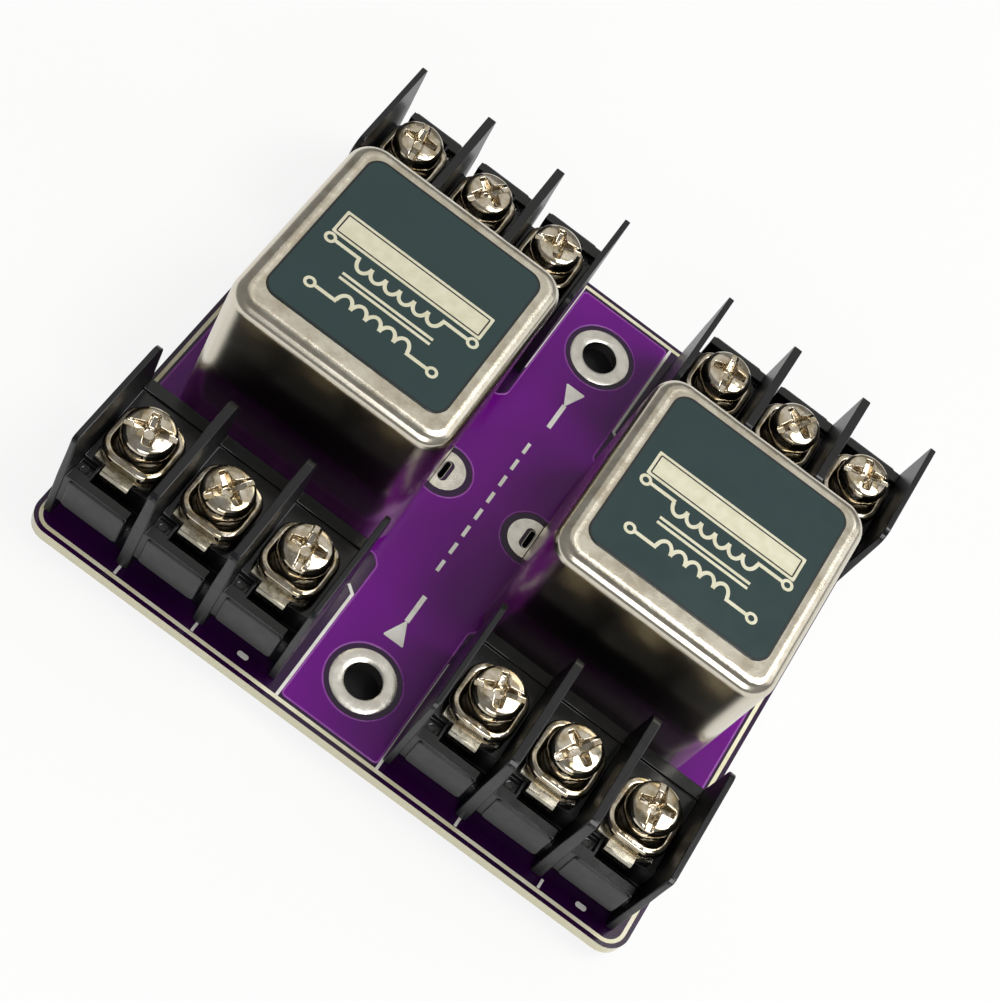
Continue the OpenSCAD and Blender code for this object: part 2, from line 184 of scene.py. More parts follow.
@dataclass(frozen=True)
class Finish:
    """A surface finish: a clouded colour, an uneven gloss and a fine relief, each at its own scale.

    The cloud drives the colour from colour to shade. The gloss changes in smaller patches, between its two
    limits. The grain is the finest relief. The swell is a slow waviness that bends reflections. Stretch
    lengthens grain along an axis. The mirror tint colours what a film over metal reflects.
    """

    name: str
    colour: str
    shade: str
    roughness: tuple[float, float]
    cloud_mm: float
    grain_mm: float
    grain_depth_mm: float
    metallic: float = 0.0
    ior: float = 1.5
    swell_mm: float = 0.0
    swell_depth_mm: float = 0.0
    stretch: Point3 = (1.0, 1.0, 1.0)
    mirror_tint: str = "#ffffff"

    def material(self) -> bpy.types.Material:
        """Makes the finish's shared material, on its first use.

        Returns:
            The material.
        """
        found = bpy.data.materials.get(self.name)
        if found is not None:
            return found
        on = Canvas(self.name)
        on.shader.inputs["Metallic"].default_value = self.metallic
        if self.metallic < 0.5:
            on.shader.inputs["IOR"].default_value = self.ior
            on.shader.inputs["Specular Tint"].default_value = linear(self.mirror_tint)
        self.dress(on)
        return on.material

    def dress(self, on: Canvas) -> None:
        """Feeds the shader its colour, gloss and relief.

        Args:
            on: The material in the making.
        """
        cloud = on.add(
            "ShaderNodeTexNoise", {"Vector": on.place, "Scale": per_mm(self.cloud_mm), "Detail": 4.0}
        )
        spread = on.add("ShaderNodeMapRange", {"Value": cloud, **CLOUD_RAMP})
        ends = {FIRST_COLOUR: linear(self.colour), SECOND_COLOUR: linear(self.shade)}
        clouded = on.add("ShaderNodeMix", {SHARE: spread, **ends}, **OF_COLOURS)
        patch = on.add(
            "ShaderNodeTexNoise",
            {
                "Vector": on.place,
                "Scale": per_mm(self.cloud_mm * PATCH_SHARE),
                "Detail": 5.0,
                "Distortion": 0.6,
            },
        )
        limits = {"To Min": self.roughness[0], "To Max": self.roughness[1]}
        gloss = on.add("ShaderNodeMapRange", {"Value": patch, **PATCH_RAMP, **limits})
        on.feed("Base Color", self.shown_colour(on, clouded))
        on.feed("Roughness", self.shown_gloss(on, gloss))
        on.feed("Normal", self.relief(on))

    def shown_colour(self, on: Canvas, clouded: Socket) -> Socket:
        """Returns the clouded colour; a finish with a pattern of its own adds it here."""
        return clouded

    def shown_gloss(self, on: Canvas, gloss: Socket) -> Socket:
        """Returns the uneven roughness; a finish that differs by direction changes it here."""
        return gloss

    def grain_strength(self, on: Canvas) -> Socket | float:
        """Returns how strongly the grain shows, from 0 to 1."""
        return 1.0

    def relief(self, on: Canvas) -> Socket:
        """Makes the grain, on top of the swell where there is one.

        Args:
            on: The material in the making.

        Returns:
            The bumped normal.
        """
        squeezed = on.add(
            "ShaderNodeMapping", {"Vector": on.place, "Scale": tuple(1 / s for s in self.stretch)}
        )
        grain = on.add(
            "ShaderNodeTexNoise", {"Vector": squeezed, "Scale": per_mm(self.grain_mm), "Detail": 3.0}
        )
        bump: dict[str, Any] = {
            "Height": grain,
            "Strength": self.grain_strength(on),
            "Distance": self.grain_depth_mm * MM,
        }
        if self.swell_depth_mm:
            swell = on.add(
                "ShaderNodeTexNoise", {"Vector": on.place, "Scale": per_mm(self.swell_mm), "Detail": 1.0}
            )
            depth = self.swell_depth_mm * MM
            bump["Normal"] = on.add("ShaderNodeBump", {"Height": swell, "Strength": 1.0, "Distance": depth})
        return on.add("ShaderNodeBump", bump)


@dataclass(frozen=True)
class DrawnPlate(Finish):
    """Deep-drawn plated sheet: draw lines run up its sides, and its top kept the sheet's grain.

    The lines smear reflections sideways. The die pressed hardest on the rolled top edge, and smoothed it.
    The draw way leans a little, so that it never lines up with the top. Each pair ending in from is how flat
    the sheet lies where a change begins and where it is complete.
    """

    side_roughness: float = 0.26
    bead_roughness: float = 0.21
    side_grain: float = 0.2
    draw_lines: float = 0.85
    draw_way: Point3 = (0.0, 0.02, 1.0)
    streak: str = "#cdc6b5"
    streak_mm: float = 0.6
    streak_length: float = 30.0
    top_colour_from: Point2 = (0.6, 0.97)
    top_gloss_from: Point2 = (0.94, 0.995)
    top_grain_from: Point2 = (0.8, 0.99)
    bead_from: Point2 = (0.1, 0.4)

    def shown_colour(self, on: Canvas, clouded: Socket) -> Socket:
        """Streaks the sides along their draw lines, and leaves the clouds to the top.

        Args:
            on: The material in the making.
            clouded: The colour of the top.

        Returns:
            The streaks and the clouds, each in its place.
        """
        drawn = on.add(
            "ShaderNodeMapping", {"Vector": on.place, "Scale": (1.0, 1.0, 1 / self.streak_length)}
        )
        lines = on.add(
            "ShaderNodeTexNoise", {"Vector": drawn, "Scale": per_mm(self.streak_mm), "Detail": 3.0}
        )
        ends = {FIRST_COLOUR: linear(self.colour), SECOND_COLOUR: linear(self.streak)}
        side = on.add("ShaderNodeMix", {SHARE: lines, **ends}, **OF_COLOURS)
        places = {SHARE: on.flatness(*self.top_colour_from), FIRST_COLOUR: side, SECOND_COLOUR: clouded}
        return on.add("ShaderNodeMix", places, **OF_COLOURS)

    def shown_gloss(self, on: Canvas, gloss: Socket) -> Socket:
        """Gives the sides their draw lines and the rolled edge its smoother skin.

        Args:
            on: The material in the making.
            gloss: Roughness of the top.

        Returns:
            Roughness of the sides, the rolled edge and the top.
        """
        facing = on.add("ShaderNodeNewGeometry", out="Normal")
        across = on.add("ShaderNodeVectorMath", {0: facing, 1: self.draw_way}, operation="CROSS_PRODUCT")
        on.feed("Tangent", across)
        on.shader.inputs["Anisotropic"].default_value = self.draw_lines
        edge = {FIRST_VALUE: self.side_roughness, SECOND_VALUE: self.bead_roughness}
        rolled = on.add("ShaderNodeMix", {SHARE: on.flatness(*self.bead_from), **edge})
        places = {SHARE: on.flatness(*self.top_gloss_from), FIRST_VALUE: rolled, SECOND_VALUE: gloss}
        return on.add("ShaderNodeMix", places)

    def grain_strength(self, on: Canvas) -> Socket | float:
        """Returns full grain on the top and little on the sides."""
        limits = {"To Min": self.side_grain, "To Max": 1.0}
        return on.add("ShaderNodeMapRange", {"Value": on.flatness(*self.top_grain_from), **limits})


@dataclass(frozen=True)
class DullWalledMoulding(Finish):
    """Moulded plastic: upright walls drag along the tool and get a dull skin, and flats come out smooth."""

    wall: str = "#0d0e10"
    wall_roughness: float = 0.36
    flat_from: Point2 = (0.3, 0.7)

    def shown_colour(self, on: Canvas, clouded: Socket) -> Socket:
        """Gives the walls their own colour, and leaves the clouds to the flats.

        Args:
            on: The material in the making.
            clouded: The colour of the flats.

        Returns:
            The two colours, each in its place.
        """
        flat = on.flatness(*self.flat_from)
        places = {SHARE: flat, FIRST_COLOUR: linear(self.wall), SECOND_COLOUR: clouded}
        return on.add("ShaderNodeMix", places, **OF_COLOURS)

    def shown_gloss(self, on: Canvas, gloss: Socket) -> Socket:
        """Makes the upright walls duller than the flats."""
        flat = on.flatness(*self.flat_from)
        return on.add("ShaderNodeMix", {SHARE: flat, FIRST_VALUE: self.wall_roughness, SECOND_VALUE: gloss})


@dataclass(frozen=True)
class MaskedLaminate(Finish):
    """Glass-epoxy board: mask on its two faces, and bare layered glass cloth on its cut edges."""

    edge: str = "#e4e0c8"
    edge_shade: str = "#cfc9a2"
    ply_mm: float = 0.2
    face_from: Point2 = (0.45, 0.55)

    def shown_colour(self, on: Canvas, clouded: Socket) -> Socket:
        """Shows plies of glass cloth wherever the surface stands upright.

        Args:
            on: The material in the making.
            clouded: The mask's colour.

        Returns:
            The plies on the edges and the mask on the faces.
        """
        scale = per_mm(self.ply_mm * BANDS_PER_UNIT)
        plies = on.add(
            "ShaderNodeTexWave",
            {"Vector": on.place, "Scale": scale, "Distortion": 2.5, "Detail": 3.0},
            "Fac",
            bands_direction="Z",
        )
        ends = {FIRST_COLOUR: linear(self.edge), SECOND_COLOUR: linear(self.edge_shade)}
        cut = on.add("ShaderNodeMix", {SHARE: plies, **ends}, **OF_COLOURS)
        places = {SHARE: on.flatness(*self.face_from), FIRST_COLOUR: cut, SECOND_COLOUR: clouded}
        return on.add("ShaderNodeMix", places, **OF_COLOURS)


@dataclass(frozen=True)
class Layered(Finish):
    """A finish of fine parallel lines, such as stacked sheets or wound wire."""

    line_mm: float = 0.3
    line_axis: str = "Z"
    line_shade: str = "#202020"
    gap_share: float = 0.35

    def shown_colour(self, on: Canvas, clouded: Socket) -> Socket:
        """Darkens the gaps between the lines.

        Args:
            on: The material in the making.
            clouded: The colour of the lines.

        Returns:
            The lines and their dark gaps.
        """
        scale = per_mm(self.line_mm * BANDS_PER_UNIT)
        lines = on.add(
            "ShaderNodeTexWave",
            {"Vector": on.place, "Scale": scale, "Distortion": 0.4, "Detail": 2.0},
            "Fac",
            bands_direction=self.line_axis,
        )
        gap = on.add("ShaderNodeMapRange", {"Value": lines, "From Min": 0.0, "From Max": self.gap_share})
        places = {SHARE: gap, FIRST_COLOUR: linear(self.line_shade), SECOND_COLOUR: clouded}
        return on.add("ShaderNodeMix", places, **OF_COLOURS)


@dataclass(frozen=True)
class PaleSweep(Finish):
    """Matt white paper: it glows white to the camera and in gloss, and still takes the object's shadow.

    No glow reaches the paper under the board, so holes in the board look down into shade.
    """

    glow: float = 0.86
    in_shade: str = "#2a2a2c"
    shade_x_mm: float = 36.0
    shade_y_mm: float = 33.0
    shade_edge_mm: float = 3.0

    def dress(self, on: Canvas) -> None:
        """Adds the glow for rays that look at the paper or see it mirrored.

        Args:
            on: The material in the making.
        """
        super().dress(on)
        rays = on.add("ShaderNodeLightPath").node.outputs
        seen = rays["Is Camera Ray"]
        for ray in ("Is Glossy Ray", "Is Transmission Ray"):
            seen = on.add("ShaderNodeMath", {0: seen, 1: rays[ray]}, operation="MAXIMUM")
        share = on.add("ShaderNodeMath", {0: self.clear_of_board(on), 1: self.glow}, operation="MULTIPLY")
        share = on.add("ShaderNodeMath", {0: seen, 1: share}, operation="MULTIPLY")
        white = on.add("ShaderNodeEmission", {"Color": linear("#ffffff"), "Strength": 1.0})
        mixed = on.add("ShaderNodeMixShader", {0: share, 1: on.shader.outputs["BSDF"], 2: white})
        on.tree.links.new(mixed, on.sink.inputs["Surface"])

    def clear_of_board(self, on: Canvas) -> Socket:
        """Tells open paper, 1, from paper under the board, 0.

        Args:
            on: The material in the making.

        Returns:
            The larger of two ramps, one across each pair of the board's edges.
        """
        spot = on.add("ShaderNodeSeparateXYZ", {"Vector": on.place}).node.outputs
        ramps = []
        for axis, reach in (("X", self.shade_x_mm), ("Y", self.shade_y_mm)):
            away = on.add("ShaderNodeMath", {0: spot[axis]}, operation="ABSOLUTE")
            limits = {"From Min": (reach - self.shade_edge_mm) * MM, "From Max": reach * MM}
            ramps.append(on.add("ShaderNodeMapRange", {"Value": away, **limits}))
        return on.add("ShaderNodeMath", {0: ramps[0], 1: ramps[1]}, operation="MAXIMUM")

    def shown_colour(self, on: Canvas, clouded: Socket) -> Socket:
        """Darkens the paper under the board.

        Args:
            on: The material in the making.
            clouded: The paper's colour in the open.

        Returns:
            The colours of open and shaded paper.
        """
        clear = self.clear_of_board(on)
        places = {SHARE: clear, FIRST_COLOUR: linear(self.in_shade), SECOND_COLOUR: clouded}
        return on.add("ShaderNodeMix", places, **OF_COLOURS)


# The real grain of plating, ink and moulding is too fine to show, so each is drawn as coarse as it needs.

# Purple solder mask, cured in an oven: a deep glossy film, dark where bare glass cloth lies under it.
MASK_ON_LAMINATE = MaskedLaminate(
    "solder_mask_on_glass_epoxy", "#2c0339", "#21022c", (0.14, 0.22), 9.0, 0.55, 0.002, ior=1.42
)
# The same film over copper: the metal shines through, so it reads lighter and pinker.
MASK_ON_COPPER = Finish(
    "solder_mask_on_copper", "#6b0482", "#5d0371", (0.12, 0.2), 14.0, 0.5, 0.0015, ior=1.42,
    swell_mm=6.0, swell_depth_mm=0.008, mirror_tint="#f0d0ff",
)
# Mask runs thin over the edge of the copper, which shows as a pale pink line.
MASK_ON_EDGE = Finish("solder_mask_thin_on_edge", "#9a4aaa", "#83379a", (0.2, 0.3), 4.0, 0.3, 0.002)
# Screen-printed epoxy ink: matt, opaque and a little uneven.
SILK = Finish("screen_printed_white_ink", "#f0eee8", "#e2ded6", (0.5, 0.65), 1.5, 0.15, 0.008)
# The same ink straight on the bare laminate, which warms it to cream.
SILK_CREAM = Finish("screen_printed_cream_ink", "#efebd2", "#e0d9b4", (0.5, 0.65), 2.5, 0.15, 0.008)
# Hot-air levelled tin: bright but lumpy, so reflections break up.
TIN = Finish(
    "hot_air_levelled_tin", "#d9d6ce", "#c8c4bb", (0.18, 0.28), 1.6, 0.35, 0.006, metallic=1.0,
    swell_mm=1.4, swell_depth_mm=0.03,
)
# Wave-soldered alloy: smooth wetted fillets with a soft grey sheen.
SOLDER = Finish(
    "wave_soldered_alloy", "#d9d8d6", "#bfbebb", (0.16, 0.34), 1.2, 0.25, 0.01, metallic=1.0,
    swell_mm=0.9, swell_depth_mm=0.03,
)
# Nickel on deep-drawn steel: warm grey, with draw-lined sides and a top with the sheet's fine grain.
DRAWN_NICKEL = DrawnPlate(
    "nickel_on_drawn_steel", "#dcd6c6", "#c0b7a4", (0.18, 0.27), 1.9, 0.28, 0.018, metallic=1.0,
    swell_mm=6.0, swell_depth_mm=0.04,
)
# Barrel-plated bright nickel on stamped and headed steel: near mirror, rippled at the scale of the part.
BRIGHT_NICKEL = Finish(
    "bright_nickel_on_steel", "#d4ccbd", "#ae9e80", (0.07, 0.17), 1.1, 0.3, 0.006, metallic=1.0,
    swell_mm=1.1, swell_depth_mm=0.06,
)
# Spring steel washers in a dull dark grey that is painted shade, so the gap under each head stays dark.
SHADE_DARK_SPRING_STEEL = Finish(
    "spring_steel_in_painted_shade", "#77736b", "#615d55", (0.3, 0.45), 0.8, 0.2, 0.006, metallic=1.0,
    swell_mm=0.9, swell_depth_mm=0.02,
)
# Stamped brass, tin plated: pale and softly brushed along the strip that it was cut from.
TINNED_BRASS = Finish(
    "tin_plated_stamped_brass", "#beb9ac", "#a7a18f", (0.2, 0.32), 1.3, 0.2, 0.006, metallic=1.0,
    stretch=(6.0, 1.0, 1.0), swell_mm=2.0, swell_depth_mm=0.03,
)
# Glass-filled thermoplastic from a lapped tool: deep black, with satin flats and duller walls.
BLACK_MOULDING = DullWalledMoulding(
    "moulded_black_thermoplastic", "#0d0e10", "#111215", (0.12, 0.18), 3.0, 0.16, 0.001, ior=1.47
)
# The same plastic from spark-eroded faces of the tool: the texture scatters light, so they read dark grey.
ERODED_MOULDING = Finish(
    "spark_eroded_black_thermoplastic", "#1b1c1f", "#1e1f22", (0.38, 0.46), 3.0, 0.14, 0.004, ior=1.5
)
# Printed polyester film: an even dark green with a satin sheen.
LABEL_FILM = Finish(
    "printed_polyester_film", "#1e3536", "#203838", (0.2, 0.27), 7.0, 0.12, 0.001, ior=1.45
)
# Metallic cream ink on that film: it catches a little light at an angle.
CREAM_INK = Finish(
    "metallic_cream_ink", "#dcd9c0", "#d2ceb2", (0.36, 0.5), 1.2, 0.14, 0.004, metallic=0.25, ior=1.5
)
# Dark ink on that film: close to black and nearly matt, for the fine lines of print; its line round the
# label's edge is painted shadow.
DARK_INK_AND_EDGE_SHADOW = Finish("dark_ink_and_painted_edge_shadow", "#080c0c", "#0c1010", (0.42, 0.55), 1.2, 0.14, 0.004)
# Paper phenolic sheet: brown, with a dull resin skin.
PHENOLIC = Finish("paper_phenolic_sheet", "#6b4526", "#5a391f", (0.4, 0.55), 3.0, 0.25, 0.01)
# Natural nylon: waxy and off-white.
NYLON = Finish("moulded_natural_nylon", "#e3ddcb", "#d6cfb9", (0.35, 0.5), 4.0, 0.4, 0.005, ior=1.53)
# Annealed silicon steel stampings, stacked on edge: blue-grey with dark lines between the sheets.
CORE_STEEL = Layered(
    "stacked_silicon_steel", "#7c7f86", "#696b70", (0.3, 0.45), 3.0, 0.3, 0.008, metallic=1.0,
    line_mm=0.35, line_axis="Y", line_shade="#2b2a29",
)
# Enamelled copper wire wound in layers: each turn is a glossy amber ridge.
WOUND_WIRE = Layered(
    "wound_enamelled_copper", "#b4653a", "#9a5028", (0.2, 0.32), 2.0, 0.2, 0.006, metallic=1.0,
    line_mm=0.22, line_axis="Z", line_shade="#4a1f0c",
)
# Rolled copper foil: bright, with rolling lines round the coil.
COPPER_FOIL = Finish(
    "rolled_copper_foil", "#d58d66", "#c47a52", (0.16, 0.3), 2.0, 0.15, 0.004, metallic=1.0,
    stretch=(8.0, 8.0, 1.0),
)
# Studio paper under and behind the object: matt and white.
SWEEP = PaleSweep("white_paper_sweep", "#f2f1ee", "#ecebe8", (0.7, 0.8), 60.0, 1.2, 0.01)


# Outlines in the plane


def rounded_rectangle(width: float, depth: float, radius: float, steps: int = 8) -> list[Point2]:
    """Draws a centred rectangle with round corners, counter-clockwise.

    Args:
        width: Size along X.
        depth: Size along Y.
        radius: Corner radius; half the width of a square makes a circle.
        steps: Straight pieces in each corner.

    Returns:
        The outline's points.
    """
    points = []
    for quarter, (x, y) in enumerate(((1, 1), (-1, 1), (-1, -1), (1, -1))):
        corner_x, corner_y = x * (width / 2 - radius), y * (depth / 2 - radius)
        for step in range(steps + 1):
            angle = (quarter + step / steps) * math.pi / 2
            points.append((corner_x + radius * math.cos(angle), corner_y + radius * math.sin(angle)))
    return points


def circle(radius: float, centre: Point2 = (0.0, 0.0), steps: int = 64) -> list[Point2]:
    """Draws a circle, counter-clockwise.

    Args:
        radius: The circle's radius.
        centre: Its middle.
        steps: Straight pieces in it.

    Returns:
        The outline's points.
    """
    turns = (2 * math.pi * step / steps for step in range(steps))
    return [(centre[0] + radius * math.cos(t), centre[1] + radius * math.sin(t)) for t in turns]


def moved(points: Iterable[Point2], x: float, y: float) -> list[Point2]:
    """Returns the points shifted by x and y."""
    return [(p[0] + x, p[1] + y) for p in points]


def raised(points: Iterable[Point2], z: float) -> list[Point3]:
    """Returns the points at a height."""
    return [(x, y, z) for x, y in points]


def quarter_turn(steps: int) -> list[float]:
    """Returns the angles from 0 to a right angle, in equal steps."""
    return [step / steps * math.pi / 2 for step in range(steps + 1)]


def softened(points: Sequence[Point2], radius: float, steps: int = 5) -> list[Point2]:
    """Rounds every corner of a closed outline.

    Args:
        points: The outline's corners in order.
        radius: How far the rounding reaches along each side.
        steps: Straight pieces in each corner.

    Returns:
        The rounded outline.
    """
    most = 0.45
    rounded = []
    for i, corner in enumerate(points):
        here = Vector(corner)
        before = Vector(points[i - 1]) - here
        after = Vector(points[(i + 1) % len(points)]) - here
        reach = min(radius, before.length * most, after.length * most)
        start, end = here + before.normalized() * reach, here + after.normalized() * reach
        for step in range(steps + 1):
            t = step / steps
            rounded.append(tuple(start * (1 - t) ** 2 + here * 2 * t * (1 - t) + end * t**2))
    return rounded


def inside(point: Point2, outline: Sequence[Point2]) -> bool:
    """Tells whether a point lies inside a closed outline.

    Args:
        point: The point to test.
        outline: The outline's points in order.

    Returns:
        True when a ray from the point crosses the outline an odd number of times.
    """
    x, y = point
    odd = False
    for i, (x1, y1) in enumerate(outline):
        x0, y0 = outline[i - 1]
        if (y0 > y) != (y1 > y) and x < (x1 - x0) * (y - y0) / (y1 - y0) + x0:
            odd = not odd
    return odd


# Meshes


class Skin:
    """Collects vertices and faces in millimetres and turns them into one piece of the object."""

    def __init__(self) -> None:
        """Starts with an empty mesh at the board's own origin."""
        self.points: list[Vector] = []
        self.faces: list[tuple[int, ...]] = []
        self.place = Matrix.Identity(4)

    def put(self, points: Iterable[Point3]) -> list[int]:
        """Adds points at the current place.

        Args:
            points: The points, in the current place's own frame.

        Returns:
            Their numbers.
        """
        start = len(self.points)
        self.points.extend(self.place @ Vector(p) for p in points)
        return list(range(start, len(self.points)))

    def loft(self, loops: Sequence[Sequence[Point3]], capped: bool = True) -> None:
        """Skins a row of closed loops that have the same number of points.

        Args:
            loops: The loops, in order along the shape.
            capped: Whether the first and the last loop are filled.
        """
        rows = [self.put(loop) for loop in loops]
        count = len(rows[0])
        for low, high in zip(rows, rows[1:]):
            for i in range(count):
                j = (i + 1) % count
                self.faces.append((low[i], low[j], high[j], high[i]))
        if capped:
            self.faces.append(tuple(reversed(rows[0])))
            self.faces.append(tuple(rows[-1]))

    def lathe(self, profile: Sequence[Point2], steps: int = 48, joined: bool = False) -> None:
        """Turns a profile around the Z axis of the current place.

        Args:
            profile: Radius and height of each point, in order.
            steps: Straight pieces around the axis.
            joined: Whether the profile closes on itself, as in a ring.
        """
        loops = [raised(circle(max(r, HAIR), steps=steps), z) for r, z in profile]
        if joined:
            loops.append(loops[0])
        self.loft(loops, capped=not joined)

    def plate(
        self, outline: Sequence[Point2], holes: Sequence[Sequence[Point2]], low: float, high: float
    ) -> None:
        """Adds a flat plate with holes.

        Args:
            outline: The plate's outer edge.
            holes: Edges of its holes.
            low: Height of its underside.
            high: Height of its top.
        """
        rings = [list(outline), *map(list, holes)]
        flat = [Vector(p) for ring in rings for p in ring]
        edges, start = [], 0
        for ring in rings:
            edges += [(start + i, start + (i + 1) % len(ring)) for i in range(len(ring))]
            start += len(ring)
        spots, _, triangles, *_ = delaunay_2d_cdt(flat, edges, [], 0, 1e-7)
        kept = []
        for tri in triangles:
            centre = sum((spots[i] for i in tri), Vector((0.0, 0.0))) / len(tri)
            if inside(centre, rings[0]) and not any(inside(centre, hole) for hole in rings[1:]):
                kept.append(tri)
        for height, flip in ((low, True), (high, False)):
            numbers = self.put((p.x, p.y, height) for p in spots)
            self.faces += [tuple(numbers[i] for i in (reversed(t) if flip else t)) for t in kept]
        for ring in rings:
            self.loft([raised(ring, low), raised(ring, high)], capped=False)

    def pad(self, outline: Callable[[float], Sequence[Point2]], height: float, edge: float) -> None:
        """Raises a pad with a rounded upper edge from just below the plane of the current place.

        Args:
            outline: Draws the pad's outline at an inset.
            height: How far the pad stands up.
            edge: Radius of its upper edge.
        """
        bedding = 0.02
        levels = [(0.0, -bedding)]
        for angle in quarter_turn(4):
            levels.append((edge * (1 - math.cos(angle)), height - edge * (1 - math.sin(angle))))
        self.loft([raised(outline(inset), z) for inset, z in levels])

    def ribbon(
        self,
        path: Sequence[Point2],
        width: float,
        low: float,
        high: float,
        closed: bool = False,
        crown: float = 0.0,
    ) -> None:
        """Lays a strip of even width along a path, with a flat or crowned top.

        Args:
            path: The strip's middle line.
            width: Its width.
            low: Height of its underside.
            high: Height of its edges' top.
            closed: Whether the path joins its own start.
            crown: How much higher its middle is than its edges.
        """
        loops = []
        count = len(path)
        for i, spot in enumerate(path):
            here = Vector(spot)
            ways = [(here - Vector(path[i - 1])).normalized()] if closed or i else []
            if closed or i < count - 1:
                ways.append((Vector(path[(i + 1) % count]) - here).normalized())
            way = sum(ways, Vector((0.0, 0.0))).normalized()
            across = Vector((-way.y, way.x)) * (width / 2) / max(0.5, way.dot(ways[0]))
            left, right = here + across, here - across
            section = ((right, low), (right, high), (here, high + crown), (left, high), (left, low))
            loops.append([(p.x, p.y, z) for p, z in section])
        if closed:
            loops.append(loops[0])
        self.loft(loops, capped=not closed)

    def mesh(self, name: str) -> bpy.types.Mesh:
        """Welds the collected faces into one mesh with its normals outwards, in metres.

        Args:
            name: The mesh's name.

        Returns:
            The new mesh.
        """
        weld = 0.0005
        mesh = bpy.data.meshes.new(name)
        mesh.from_pydata([p * MM for p in self.points], [], self.faces)
        form = bmesh.new()
        form.from_mesh(mesh)
        bmesh.ops.remove_doubles(form, verts=form.verts, dist=weld * MM)
        bmesh.ops.recalc_face_normals(form, faces=form.faces)
        form.to_mesh(mesh)
        form.free()
        return mesh

    def piece(
        self, name: str, finish: Finish, slot: str, replaces: Sequence[str] = (), crease: float = 35.0
    ) -> None:
        """Makes the object, dresses it and lets it ride on the board.

        Args:
            name: The object's name.
            finish: What it is made of.
            slot: Not used.
            replaces: CAD nodes that it stands for.
            crease: Edges that fold more than this many degrees stay sharp.
        """
        mesh = self.mesh(name)
        mesh.shade_smooth()
        mesh.set_sharp_from_angle(angle=math.radians(crease))
        settle(name, mesh, finish, replaces)


def settle(
    name: str, mesh: bpy.types.Mesh, finish: Finish, replaces: Sequence[str] = ()
) -> None:
    """Links a finished mesh as a piece that rides on the board.

    Args:
        name: The object's name.
        mesh: Its mesh, in metres in the board's frame.
        finish: What it is made of.
        replaces: CAD nodes that it stands for.
    """
    piece = bpy.data.objects.new(name, mesh)
    bpy.context.scene.collection.objects.link(piece)
    mesh.materials.clear()
    mesh.materials.append(finish.material())
    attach(piece, BODY)
    if replaces:
        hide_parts(*replaces)
    LOG.info("%s: %d faces of %s", name, len(mesh.polygons), finish.name)


def softened_copy(
    node: str, name: str, finish: Finish, edge: float, steps: int, reshape: Reshape
) -> None:
    """Stands in for a CAD node with much the same shape and rounded edges.

    Args:
        node: The CAD node to copy.
        name: The new piece's name.
        finish: What it is made of.
        edge: Width of the rounding.
        steps: Facets across the rounding.
        reshape: Moves a point of the copy, in millimetres, before the rounding.
    """
    weld, flat_degrees, fold_degrees = 0.002, 1.5, 30
    form = bmesh.new()
    form.from_mesh(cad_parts[node].data)
    for vert in form.verts:
        vert.co = reshape(vert.co / MM) * MM
    bmesh.ops.remove_doubles(form, verts=form.verts, dist=weld * MM)
    bmesh.ops.dissolve_limit(
        form, angle_limit=math.radians(flat_degrees), verts=form.verts, edges=form.edges
    )
    fold = math.radians(fold_degrees)
    folds = [e for e in form.edges if len(e.link_faces) == 2 and e.calc_face_angle() > fold]
    made = bmesh.ops.bevel(
        form,
        geom=folds,
        offset=edge * MM,
        offset_type="OFFSET",
        segments=steps,
        profile=0.5,
        affect="EDGES",
        clamp_overlap=True,
    )
    for face in form.faces:
        face.smooth = False
    for face in made["faces"]:
        face.smooth = True
    mesh = bpy.data.meshes.new(name)
    form.to_mesh(mesh)
    form.free()
    settle(name, mesh, finish, (node,))


def dress_node(node: str, finish: Finish) -> None:
    """Gives a CAD node that keeps its own shape a better material.

    Args:
        node: The CAD node to dress.
        finish: What it is made of.
    """
    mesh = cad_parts[node].data
    mesh.materials.clear()
    mesh.materials.append(finish.material())
    LOG.info("%s: dressed in %s", node, finish.name)


def middle(node: str) -> Vector:
    """Returns the centre of a CAD node's box, in millimetres."""
    low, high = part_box(node)
    return (low + high) / 2 / MM


# Sub-assemblies


